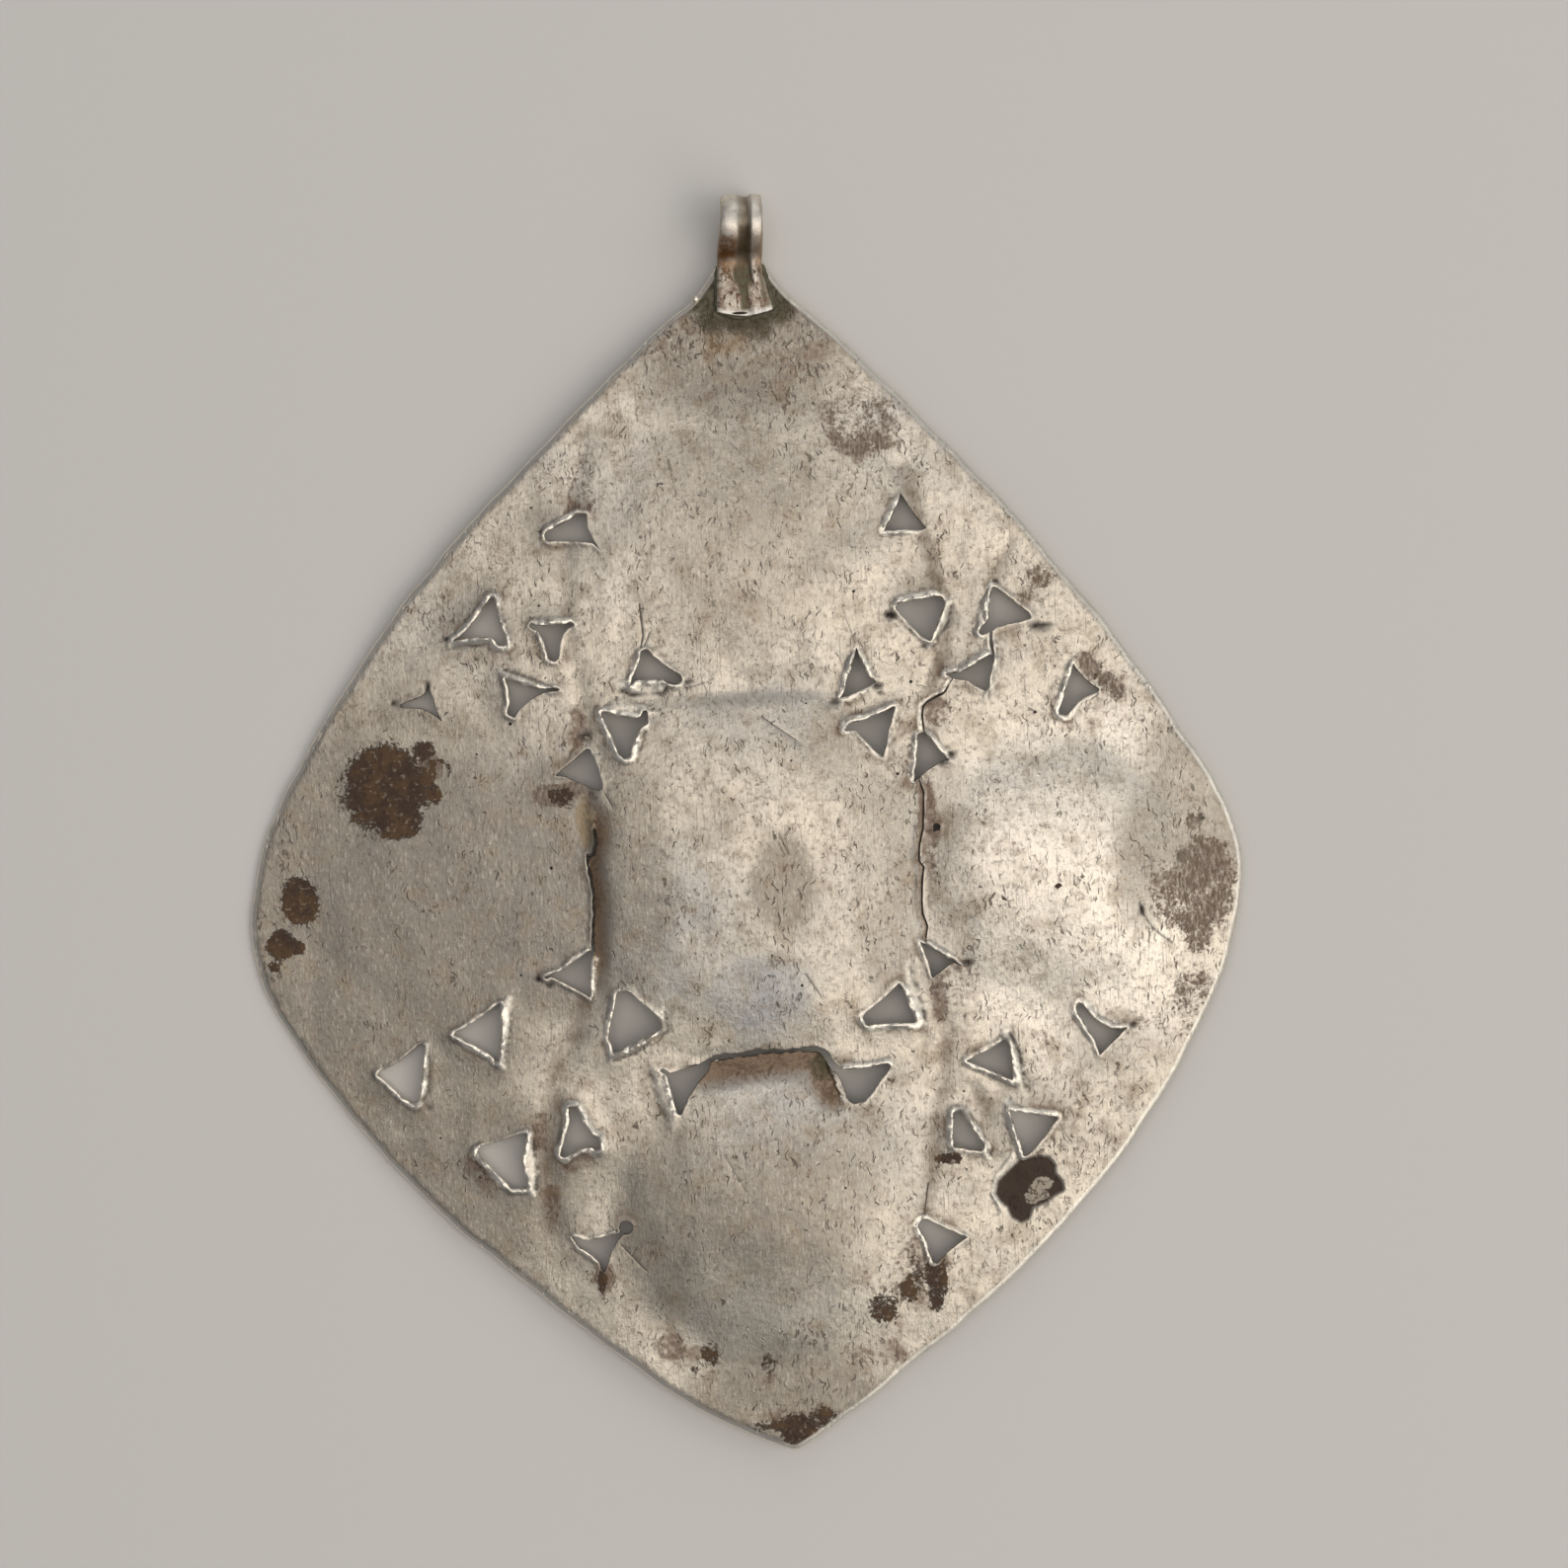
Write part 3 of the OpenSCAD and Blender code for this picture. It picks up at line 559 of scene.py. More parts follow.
# pitch of the points: far from the cuts, near them, how near, on the underside, along the cuts
sheetSet = {"coarsePitch": 0.45, "finePitch": 0.23, "fineReach": 0.95, "underPitch": 0.95, "cutStep": 0.2}
outline, _ = loopPoints(outlineRows, 0.27, -1)
outline = handCut(softened(outline, 6), 0.05, 30)
holes, lips = [], []
for rows in holeRows + tearRows + [crackLoop(*row) for row in crackRows]:
    loop, lip = loopPoints(rows, sheetSet["cutStep"], 1)
    if rows in tearRows:
        loop = handCut(loop, 0.05, 1)     # torn, so rougher
    elif len(rows) < 17:     # chiselled; the longest crack stays as drawn
        loop = handCut(softened(loop, 1), 0.018, 2)
    holes.append(loop)
    lips.append(softened(lip, 4))
turn = np.linspace(0, 2 * math.pi, 24, endpoint=False)
punchX, punchY, punchRadius = punchSpot
holes.append(np.stack([punchX + punchRadius * np.cos(turn), punchY + punchRadius * np.sin(turn)], 1))
lips.append(np.full(len(turn), 0.15))
lipOf = np.concatenate(lips)
holeTree = treeOf(np.concatenate(holes))
rimTree = treeOf(outline)

print("sheet points")
low, high = outline.min(0), outline.max(0)
coarse = hexGrid(low, high, sheetSet["coarsePitch"])
fine = hexGrid(low, high, sheetSet["finePitch"])
rings = [loop + loopNormals(loop) * off for loop in holes for off in (0.1, 0.24)]
rings += [outline - loopNormals(outline) * off for off in (0.1, 0.3, 0.5)]
lines = []
for _, route in scratchRows:
    route = np.array(route)
    for a, b in zip(route[:-1], route[1:]):
        along = (b - a) / np.hypot(*(b - a))
        side = np.array([-along[1], along[0]])
        steps = np.arange(0, np.hypot(*(b - a)), 0.2)[:, None] * along
        lines += [a + steps + side * off for off in (-0.22, -0.09, 0, 0.09, 0.22)]
lines = np.concatenate(lines)


def away(points, low, high, rimGap):
    # those on the metal, between two distances from the holes and clear of the rim
    d, _ = nearest(holeTree, points)
    points = points[(d >= low) & (d < high)]
    points = points[nearest(rimTree, points)[0] > rimGap]
    return points[insideMetal(points)]


coarse = away(coarse, sheetSet["fineReach"], 1e9, 0.66)
fine = away(fine, 0.36, sheetSet["fineReach"], 0.62)
grid = np.concatenate([coarse, fine])
# the sunk patch has a crisp edge, so the points are close together there
patchLow, patchHigh = (20.9, -38), (28.4, -31)
grid = grid[((grid < patchLow) | (grid > patchHigh)).any(1)]
grid = np.concatenate([grid, away(hexGrid(patchLow, patchHigh, 0.17), 0.36, 1e9, 0.62)])
gap = np.min([routeDistance(grid, route)[0] for _, route in scratchRows], 0)
ringPoints = np.concatenate([away(np.concatenate(rings[0:-3:2]), 0.085, 1, 0.1),
                             away(np.concatenate(rings[1:-3:2]), 0.21, 1, 0.1),
                             away(np.concatenate(rings[-3:]), 0.1, 1e9, 0.08)])
topPoints = np.concatenate([grid[gap > 0.32], ringPoints, away(lines, 0.1, 1e9, 0.3)])
underPoints = away(hexGrid(low, high, sheetSet["underPitch"]), 0.5, 1e9, 0.6)
topFlat, topFaces = triangulate([outline] + holes, topPoints)
underFlat, underFaces = triangulate([outline] + holes, underPoints)
print("  top", len(topFaces), "under", len(underFaces))

# the walls of the cuts: an edge without a twin is a cut edge, with the metal on its left
ways = np.concatenate([topFaces[:, [0, 1]], topFaces[:, [1, 2]], topFaces[:, [2, 0]]])
twin = set(map(tuple, ways.tolist()))
cutEdges = np.array([w for w in ways.tolist() if (w[1], w[0]) not in twin])
rimIds = np.unique(cutEdges)
under = treeOf(underFlat)
below = {i: under.find((*topFlat[i], 0))[1] for i in rimIds.tolist()}
outward = np.zeros((len(topFlat), 2))
step = topFlat[cutEdges[:, 1]] - topFlat[cutEdges[:, 0]]
normal = np.stack([step[:, 1], -step[:, 0]], 1)
normal /= np.maximum(np.hypot(step[:, 0], step[:, 1]), 1e-9)[:, None]
for end in (0, 1):
    np.add.at(outward, cutEdges[:, end], normal)
outward /= np.maximum(np.hypot(outward[:, 0], outward[:, 1]), 1e-9)[:, None]
push = 0.03 + 0.05 * chance.random(len(rimIds))
push[nearest(rimTree, topFlat[rimIds])[0] < 0.05] = 0.05     # even along the rim
midFlat = topFlat[rimIds] + outward[rimIds] * push[:, None]
midOf = {i: k + len(topFlat) for k, i in enumerate(rimIds.tolist())}
lowStart = len(topFlat) + len(midFlat)
walls = []
for a, b in cutEdges.tolist():
    walls.append((b, a, midOf[a], midOf[b]))
    walls.append((midOf[b], midOf[a], below[a] + lowStart, below[b] + lowStart))
flat = np.concatenate([topFlat, midFlat, underFlat])
level = np.concatenate([np.ones(len(topFlat)), np.full(len(midFlat), 0.5), np.zeros(len(underFlat))])
faces = topFaces.tolist() + walls + (underFaces[:, ::-1] + lowStart).tolist()

print("what happened to each spot of the metal")
edgeDist, edgeId = nearest(holeTree, flat)
rimDist, _ = nearest(rimTree, flat)
lip = lipOf[edgeId]
fields = {"level": level, "edgeDist": edgeDist, "rimDist": rimDist, "lip": lip}


def keepMost(key, values):
    # raises a field to the values where they are larger
    fields[key] = np.maximum(fields.get(key, 0), values)


def reachOf(x, y, rx, ry):
    # 0 in the middle of an ellipse, 1 on its edge
    return np.hypot((flat[:, 0] - x) / rx, (flat[:, 1] - y) / ry)


for depth, half, route in troughRows:
    d, _ = routeDistance(flat, route)
    keepMost("trough", depth * np.exp(-(d / half) ** 2))
for depth, width, brown, sign, route in bandRows:
    d, side = routeDistance(flat, route)
    fade = np.clip(1 - d / width, 0, 1) * (side * sign > -0.02)
    keepMost("drop", depth * fade)
    keepMost("band", brown * fade)
for width, deep, route in flapRows:
    d, side = routeDistance(flat, route)
    keepMost("flap", np.clip((width - d) / 0.2, 0, 1) * np.clip(d / 0.15, 0, 1) * (side > 0))
    keepMost("crease", deep * np.exp(-(d / 0.16) ** 2))
for depth, route in scratchRows:
    d, _ = routeDistance(flat, route)
    keepMost("scratch", depth * np.exp(-(d / 0.08) ** 2))
for layer, rows in stainRows.items():
    for *ellipse, strength in rows:
        keepMost(layer, strength * np.clip((1.5 - reachOf(*ellipse)) / 0.75, 0, 1))
d, _ = routeDistance(flat, patchOutline + patchOutline[:1])
keepMost("patch", np.clip(0.5 + np.where(insideLoop(flat, np.array(patchOutline)), d, -d) / 0.22, 0, 1))
for ellipse in fleckRows:
    keepMost("fleck", np.clip(3 - 2.2 * reachOf(*ellipse), 0, 1))
# the hidden underside is plain: these stains and marks, and the painted highlight and shade, belong to
# the top
for key in ("nick", "crust", "scale", "cool", "tan", "shine", "dull", "flap", "crease", "scratch",
            "patch", "fleck"):
    fields[key][level < 0.5] = 0
slab = bpy.data.meshes.new("hammeredSheet")
slab.from_pydata(np.column_stack([flat, np.zeros(len(flat))]).tolist(), [], faces, shade_flat=False)
for key, values in fields.items():
    slab.attributes.new(key, "FLOAT", "POINT").data.foreach_set("value", values.astype(np.float32))
slabObject = bpy.data.objects.new("hammeredSheet", slab)
bpy.context.scene.collection.objects.link(slabObject)

print("sheet relief")
reliefSet = {
    "seed": 3.0, "sheetThickness": 0.8, "bossScale": 1.0, "middleHeight": 1.6, "footBlend": 0.6,
    "dishDepth": 1.1, "dishWide": 46.0, "dishLong": 56.0, "wingDrop": 1.5, "wingFrom": -11.0,
    "wingTo": -40.0, "dentHeight": 0.2, "fineDent": 0.035, "grooveDepth": 0.22, "scratchDepth": 0.06,
    "lipHeight": 0.24, "lipWidth": 0.3, "moundHeight": 0.13, "rimRound": 0.27,
}
reliefSockets = {key: "Float" for key in reliefSet}
reliefTree, reliefIn = newTree("hammeredRelief", {**reliefSockets, "silver": "Material"})
tree = reliefTree
place = addNode(tree, "GeometryNodeInputPosition")
xyz = addNode(tree, "ShaderNodeSeparateXYZ", {0: place})
field = {key: addNode(tree, "GeometryNodeInputNamedAttribute", {0: key}, data_type="FLOAT")
         for key in ("level", "edgeDist", "rimDist", "lip", "trough", "drop", "scratch", "patch", "nick",
                     "flap", "crease")}

# low dish over the whole sheet
reachX = calc(tree, "DIVIDE", xyz.node.outputs[0], reliefIn["dishWide"])
reachY = calc(tree, "DIVIDE", xyz.node.outputs[1], reliefIn["dishLong"])
squareX = calc(tree, "MULTIPLY", reachX, reachX)
dish = calc(tree, "MULTIPLY_ADD", reachY, reachY, squareX)
height = calc(tree, "MULTIPLY", dish, reliefIn["dishDepth"])
height = calc(tree, "SUBTRACT", 0, height)
wing = ramp(tree, xyz, reliefIn["wingFrom"], reliefIn["wingTo"])
wing = calc(tree, "MULTIPLY", wing, reliefIn["wingDrop"])
height = calc(tree, "SUBTRACT", height, wing)

# round bosses, each a cap whose foot runs softly into the sheet
caps = 0.0
for x, y, r, tall in bossRows:
    off = vectorCalc(tree, "SUBTRACT", place, (x, y, 0))
    square = vectorCalc(tree, "DOT_PRODUCT", off, off, take="Value")
    fall = calc(tree, "MULTIPLY_ADD", square, -tall / r ** 2, tall)
    cap = calc(tree, "MULTIPLY", fall, reliefIn["bossScale"])
    caps = calc(tree, "SMOOTH_MAX", cap, caps, reliefIn["footBlend"])

# middle field: a wide dome inside a rounded square
off = vectorCalc(tree, "SUBTRACT", place, (*middleField["centre"], 0))
off = vectorCalc(tree, "ABSOLUTE", off)
corner = middleField["corner"]
inner = [half - corner for half in middleField["half"]]
off = vectorCalc(tree, "SUBTRACT", off, (*inner, 0))
off = vectorCalc(tree, "MAXIMUM", off, (0, 0, 0))
reach = vectorCalc(tree, "LENGTH", off, take="Value")
inField = ramp(tree, reach, corner + 0.5, corner - 1.4, smooth=True)
off = vectorCalc(tree, "SUBTRACT", place, (*middleField["dome"], 0))
square = vectorCalc(tree, "DOT_PRODUCT", off, off, take="Value")
fall = calc(tree, "MULTIPLY_ADD", square, -1 / middleField["reach"] ** 2, 1)
dome = calc(tree, "MULTIPLY", fall, reliefIn["middleHeight"])
dome = calc(tree, "MAXIMUM", dome, 0.1)
dome = calc(tree, "MULTIPLY", dome, inField)
caps = calc(tree, "SMOOTH_MAX", caps, dome, reliefIn["footBlend"])
height = calc(tree, "ADD", height, caps)

# hammer dents, broad and fine, with a seed
for key, scale in (("dentHeight", 0.16), ("fineDent", 0.9)):
    sockets = {"Vector": place, "W": reliefIn["seed"], "Scale": scale, "Detail": 1.5}
    noise = addNode(tree, "ShaderNodeTexNoise", sockets, noise_dimensions="4D")
    noise = calc(tree, "SUBTRACT", noise, 0.5)
    noise = calc(tree, "MULTIPLY", noise, 2)
    height = calc(tree, "MULTIPLY_ADD", noise, reliefIn[key], height)

# chased troughs, torn edges that sank, and the swelling that the chisel raised round each hole
trough = calc(tree, "MULTIPLY", field["trough"], reliefIn["grooveDepth"])
height = calc(tree, "SUBTRACT", height, trough)
height = calc(tree, "SUBTRACT", height, field["drop"])
swell = calc(tree, "DIVIDE", field["edgeDist"], 3)
swell = curveNode(tree, swell, [(0, 1), (0.3, 0.62), (0.7, 0.1), (1, 0)])
swell = calc(tree, "MULTIPLY", swell, field["lip"])
height = calc(tree, "MULTIPLY_ADD", swell, reliefIn["moundHeight"], height)

# what only the top face has: burred lips, rounded rim, scratches and the sunk patch
spread = calc(tree, "MULTIPLY_ADD", field["lip"], 0.65, 0.35)
spread = calc(tree, "MULTIPLY", spread, reliefIn["lipWidth"])
burr = calc(tree, "DIVIDE", field["edgeDist"], spread)
burr = calc(tree, "DIVIDE", burr, 2.5)
burr = curveNode(tree, burr, [(0, 0.6), (0.25, 1), (0.43, 0.88), (0.64, 0.2), (1, 0)])
rough = addNode(tree, "ShaderNodeTexNoise", {"Vector": place, "Scale": 1.1, "Detail": 3})
rough = ramp(tree, rough, 0.35, 0.65, 0.3, 1.3)
burr = calc(tree, "MULTIPLY", burr, rough)
burr = calc(tree, "MULTIPLY", burr, field["lip"])
top = calc(tree, "MULTIPLY_ADD", burr, reliefIn["lipHeight"], reliefIn["sheetThickness"])
rim = curveNode(tree, field["rimDist"], [(0, 1), (0.1, 0.67), (0.3, 0.33), (0.5, 0.03), (0.65, 0),
                                         (1, 0)])
rim = calc(tree, "MULTIPLY", rim, reliefIn["rimRound"])
top = calc(tree, "SUBTRACT", top, rim)
groove = calc(tree, "MULTIPLY", field["scratch"], reliefIn["scratchDepth"])
top = calc(tree, "SUBTRACT", top, groove)
for key, lift in (("patch", -0.16), ("nick", -0.16), ("flap", 0.1), ("crease", -0.15)):
    top = calc(tree, "MULTIPLY_ADD", field[key], lift, top)
skin = mixed(tree, field["level"], rim, top)
height = calc(tree, "ADD", height, skin)

put = addNode(tree, "ShaderNodeCombineXYZ", {0: xyz.node.outputs[0], 1: xyz.node.outputs[1], 2: height})
shape = addNode(tree, "GeometryNodeSetPosition", {"Geometry": reliefIn["Geometry"], "Position": put})
endTree(tree, softEdges(tree, shape, 0.75), reliefIn["silver"])

print("materials")


def turned(tree, spot, turn, stretch):
    # coordinates turned in the plane and stretched
    return addNode(tree, "ShaderNodeMapping", {0: spot, "Rotation": (0, 0, turn), "Scale": stretch})


def fieldOf(tree, name):
    # a value that the mesh keeps on its points, for a material
    return addNode(tree, "ShaderNodeAttribute", take="Fac", attribute_name=name)


def newMaterial(name):
    # empty node material, and its object coordinates in millimetres
    material = bpy.data.materials.new(name)
    material.use_nodes = True
    material.node_tree.nodes.clear()
    spot = addNode(material.node_tree, "ShaderNodeTexCoord", take="Object")
    spot = vectorCalc(material.node_tree, "SCALE", spot, scale=1000)
    return material, material.node_tree, spot


def ragged(tree, value, noise, amount, width, most=1):
    # a soft field cut at half strength, with an edge that the noise tears; most is its top value
    shift = calc(tree, "MULTIPLY_ADD", noise, amount, -amount / 2)
    total = calc(tree, "ADD", value, shift)
    return ramp(tree, total, 0.5 - width, 0.5 + width, 0, most, smooth=True)


def finishMaterial(tree, colours, metallic, roughness, layers, height, bumpSize):
    # lays each layer's colour, metallic and roughness over the base where its mask is
    base = hexToLinear(colours["base"])
    for mask, colour, metal, rough in layers:
        sockets = {0: mask, 6: base, 7: hexToLinear(colours[colour])}
        base = addNode(tree, "ShaderNodeMix", sockets, take=2, data_type="RGBA")
        metallic = mixed(tree, mask, metallic, metal)
        roughness = mixed(tree, mask, roughness, rough)
    bump = addNode(tree, "ShaderNodeBump", {"Height": height, "Distance": bumpSize * mm, "Strength": 1.0})
    sockets = {"Base Color": base, "Metallic": metallic, "Roughness": roughness, "Normal": bump}
    shader = addNode(tree, "ShaderNodeBsdfPrincipled", sockets)
    addNode(tree, "ShaderNodeOutputMaterial", {0: shader}, take=None)


def noiseAt(tree, spot, scale, detail=3, rough=0.55, stretch=None, turn=0.0):
    # noise with a real pitch; a stretch draws it out into hairs
    if stretch:
        spot = turned(tree, spot, turn, stretch)
    sockets = {"Vector": spot, "Scale": scale, "Detail": detail, "Roughness": rough}
    return addNode(tree, "ShaderNodeTexNoise", sockets)


def cellsAt(tree, spot, scale, **settings):
    # distance to the middle of the cell that a spot lies in, and three random values of the cell
    cell = addNode(tree, "ShaderNodeTexVoronoi", {"Vector": spot, "Scale": scale}, **settings)
    tone = addNode(tree, "ShaderNodeSeparateColor", {0: cell.node.outputs["Color"]})
    return cell, tone.node.outputs


# the pale polish colour also paints highlight, and the grey tarnish colour also paints shade
silverColours = {
    "base": "#D6CDBD", "cool": "#A9AAAC", "warm": "#AFA08C", "hair": "#82786C", "grime": "#80695A",
    "trough": "#6A5543", "band": "#978069", "mottle": "#958B7E", "shine": "#F2EADC", "dull": "#978F83",
    "crust": "#543F2F", "crustDark": "#3A2C23", "crustPale": "#A59482", "rust": "#6E5435",
    "scale": "#968678", "scaleDark": "#75634F", "flux": "#4E4731", "tan": "#A38C66", "mark": "#6B5E50",
    "worn": "#F4ECDD", "pit": "#332A23", "patch": "#3A2919", "fleck": "#A2988A",
}
silverSet = {
    "roughness": 0.42, "bump": 0.042, "streakWidth": 0.2, "streakLength": 0.7, "pitPitch": 1.6,
    # turn, pitch across and pitch along of each set of tool marks
    "marks": [(0.5, 0.5, 2.6), (-0.7, 0.55, 3.2), (1.4, 0.45, 2.2), (0, 0.42, 2.4), (2.3, 0.5, 2.6)],
}

# hammered silver alloy, hand finished with a coarse file, worn and stained: dull warm grey with
# short dark file marks, pits, brown crusts and bright worn lips
sheetSilver, tree, spot = newMaterial("hammeredSilver")
field = {key: fieldOf(tree, key) for key in fields if key != "drop"}
cloud = noiseAt(tree, spot, 0.09, 4)
blotch = noiseAt(tree, spot, 0.45, 5, 0.62)
speckle = noiseAt(tree, spot, 1.9, 4, 0.65)
crumb = noiseAt(tree, spot, 3, 3, 0.7)
streakStretch = (1 / silverSet["streakWidth"], 1 / silverSet["streakLength"], 1)
streak = noiseAt(tree, spot, 1, 4, 0.7, streakStretch, 0.12)
streakDark = ramp(tree, streak, 0.53, 0.72, 0, 0.42)
streakPale = ramp(tree, streak, 0.46, 0.28, 0, 0.4)
# short tool marks: drawn-out cells, bent a little, and only some of them filled
bent = addNode(tree, "ShaderNodeTexNoise", {"Vector": spot, "Scale": 0.8, "Detail": 2}, take="Color")
bent = vectorCalc(tree, "MULTIPLY_ADD", bent, (1.8, 1.8, 1.8), spot)
crowd = noiseAt(tree, spot, 0.22, 3, 0.6)
crowding = calc(tree, "MULTIPLY", crowd, 1.6)
marks = 0.0
for turn, across, length in silverSet["marks"]:
    way = turned(tree, bent, turn, (1 / across, 1 / length, 1))
    cell, tones = cellsAt(tree, way, 1, voronoi_dimensions="2D")
    pick = calc(tree, "ADD", crowding, tones[0])
    pick = calc(tree, "MULTIPLY_ADD", field["grime"], 0.3, pick)
    pick = ramp(tree, pick, 1.45, 1.95, 0, 0.15)
    mark = calc(tree, "SUBTRACT", pick, cell)
    mark = ramp(tree, mark, -0.02, 0.05)
    strength = ramp(tree, tones[1], 0, 1, 0.4, 1)
    mark = calc(tree, "MULTIPLY", mark, strength)
    marks = calc(tree, "MAXIMUM", marks, mark)
markMask = calc(tree, "MULTIPLY", marks, 0.85)
# fine hairs, pits and curled threads
hairA = noiseAt(tree, spot, 1, 1, 0.5, (9, 0.22, 1), 0.32)
hairB = noiseAt(tree, spot, 1, 1, 0.5, (8, 0.3, 1), -0.7)
hair = calc(tree, "MAXIMUM", hairA, hairB)
hairMask = ramp(tree, hair, 0.7, 0.75, 0, 0.4)
cell, tones = cellsAt(tree, spot, 1 / silverSet["pitPitch"])
pitSize = ramp(tree, tones[0], 0.72, 1, 0, 0.1)
pitMask = calc(tree, "SUBTRACT", pitSize, cell)
pitMask = ramp(tree, pitMask, 0, 0.03)
curl = calc(tree, "SUBTRACT", noiseAt(tree, spot, 0.9, 3, 0.5), 0.5)
curl = calc(tree, "ABSOLUTE", curl)
curl = ramp(tree, curl, 0.016, 0.005, 0, 0.6)
curlMask = calc(tree, "MULTIPLY", curl, ramp(tree, speckle, 0.5, 0.56))
scratchMask = ramp(tree, field["scratch"], 0.3, 0.8, 0, 0.8)
# broad tones of the bare metal, and the dirt that gathers near the cuts
flake = noiseAt(tree, spot, 1, 3, 0.7, (4, 1.4, 1), -0.5)
coolBase = calc(tree, "MULTIPLY_ADD", field["cool"], 0.55, -0.08)
coolMask = calc(tree, "ADD", coolBase, cloud)
coolMask = ramp(tree, coolMask, 0.4, 0.95, 0, 0.85)
warmMask = ramp(tree, blotch, 0.49, 0.68, 0, 0.45)
mottleMask = ramp(tree, speckle, 0.5, 0.68, 0, 0.5)
grimeBase = calc(tree, "MULTIPLY_ADD", field["grime"], 0.45, -0.02)
nearCut = ramp(tree, field["edgeDist"], 2.4, 0.3, 0, 0.2)
grimeBase = calc(tree, "ADD", grimeBase, nearCut)
grimeMask = ragged(tree, grimeBase, blotch, 1.5, 0.3, 0.6)
speckMask = ragged(tree, grimeBase, speckle, 1.5, 0.16, 0.55)
troughMask = calc(tree, "MULTIPLY", field["trough"], blotch)
troughMask = ramp(tree, troughMask, 0.15, 0.65, 0, 0.7)
# stains, and the painted highlight and shade, each torn at its edge by two noises
tearing = calc(tree, "ADD", blotch, crumb)
tearing = calc(tree, "MULTIPLY", tearing, 0.5)
bandMask = calc(tree, "MULTIPLY_ADD", streak, -1.5, 0.75)
bandMask = calc(tree, "ADD", field["band"], bandMask)
bandMask = ramp(tree, bandMask, 0.04, 0.7, 0, 0.95)
bandMask = calc(tree, "MULTIPLY", bandMask, ramp(tree, field["band"], 0, 0.15))
bandDark = ramp(tree, tearing, 0.47, 0.58, 0, 0.8)
bandDark = calc(tree, "MULTIPLY", bandDark, bandMask)
crustMask = ragged(tree, field["crust"], tearing, 2.6, 0.1)
crustDeep = ramp(tree, tearing, 0.53, 0.44, 0, 0.6)
crustPale = ramp(tree, speckle, 0.58, 0.64, 0, 0.7)
rustMask = ramp(tree, blotch, 0.5, 0.6, 0, 0.6)
crustDeep = calc(tree, "MULTIPLY", crustDeep, crustMask)
crustPale = calc(tree, "MULTIPLY", crustPale, crustMask)
rustMask = calc(tree, "MULTIPLY", rustMask, crustMask)
scaleMask = ragged(tree, field["scale"], tearing, 3.2, 0.2)
scaleDark = ramp(tree, flake, 0.5, 0.6, 0, 0.85)
scaleDark = calc(tree, "MULTIPLY", scaleDark, scaleMask)
scaleMask = calc(tree, "MULTIPLY", scaleMask, ramp(tree, flake, 0.36, 0.48, 0.25, 1))
fleckMask = ragged(tree, field["fleck"], crumb, 1.6, 0.15)
vein = calc(tree, "SUBTRACT", noiseAt(tree, spot, 1.1, 3), 0.5)
vein = ramp(tree, calc(tree, "ABSOLUTE", vein), 0.012, 0.035, 0.15, 1)
fleckMask = calc(tree, "MULTIPLY", fleckMask, vein)
# dark dirt and painted shade along the crease beyond each folded lip
creaseDirtAndShade = ramp(tree, field["crease"], 0.1, 0.9, 0, 0.8)
flapMask = calc(tree, "MULTIPLY", field["flap"], ramp(tree, tearing, 0.4, 0.6, 0.9, 0.45))
# pale polish and painted highlight
polishAndHighlightMask = ragged(tree, field["shine"], cloud, 1.2, 0.5, 0.8)
# grey tarnish and painted shade, darker within 3 mm of the cuts
nearCutsDarker = ramp(tree, field["edgeDist"], 3, 0.5, 0, 0.3)
tarnishAndShadeMask = calc(tree, "ADD", field["dull"], nearCutsDarker)
tarnishAndShadeMask = ragged(tree, tarnishAndShadeMask, cloud, 1.2, 0.5, 0.8)
fluxMask = ragged(tree, field["flux"], tearing, 1.9, 0.35)
fluxMask = calc(tree, "MULTIPLY", fluxMask, ramp(tree, speckle, 0.4, 0.6, 1, 0.7))
tanMask = ragged(tree, field["tan"], blotch, 1.6, 0.5, 0.6)
# bright worn lips and rim, with painted shade as a dark line at the foot of each lip
spread = calc(tree, "MULTIPLY_ADD", field["lip"], 0.45, 0.14)
lipWear = calc(tree, "MULTIPLY_ADD", crumb, 0.25, field["edgeDist"])
spread = calc(tree, "MULTIPLY", spread, ramp(tree, blotch, 0.36, 0.62, 0.65, 1.25))
lipWear = calc(tree, "DIVIDE", lipWear, spread)
lipWear = ramp(tree, lipWear, 1.15, 0.75)
lipFootShade = curveNode(tree, field["edgeDist"], [(0, 0), (0.38, 0), (0.55, 1), (0.7, 0.8), (1, 0)])
lipFootShade = calc(tree, "MULTIPLY", lipFootShade, field["lip"])
lipFootShade = calc(tree, "MULTIPLY", lipFootShade, ramp(tree, blotch, 0.5, 0.62, 0, 0.8))
lipOn = ramp(tree, field["lip"], 0.15, 0.85)
lipWear = calc(tree, "MULTIPLY", lipWear, lipOn)
rimWear = ramp(tree, field["rimDist"], 0.5, 0.3)
wear = calc(tree, "MAXIMUM", lipWear, rimWear)
wear = calc(tree, "MULTIPLY", wear, ramp(tree, blotch, 0.25, 0.45, 0.55, 1))
underside = ramp(tree, field["level"], 0.9, 0.4, 0, 0.7)
roughness = ramp(tree, blotch, 0.3, 0.75, silverSet["roughness"] - 0.07, silverSet["roughness"] + 0.08)
height = calc(tree, "MULTIPLY_ADD", streak, -0.6, speckle)
height = calc(tree, "MULTIPLY_ADD", marks, -1.2, height)
height = calc(tree, "MULTIPLY_ADD", pitMask, -2.5, height)
height = calc(tree, "MULTIPLY_ADD", hairMask, -0.5, height)
height = calc(tree, "MULTIPLY_ADD", crustMask, 1.6, height)
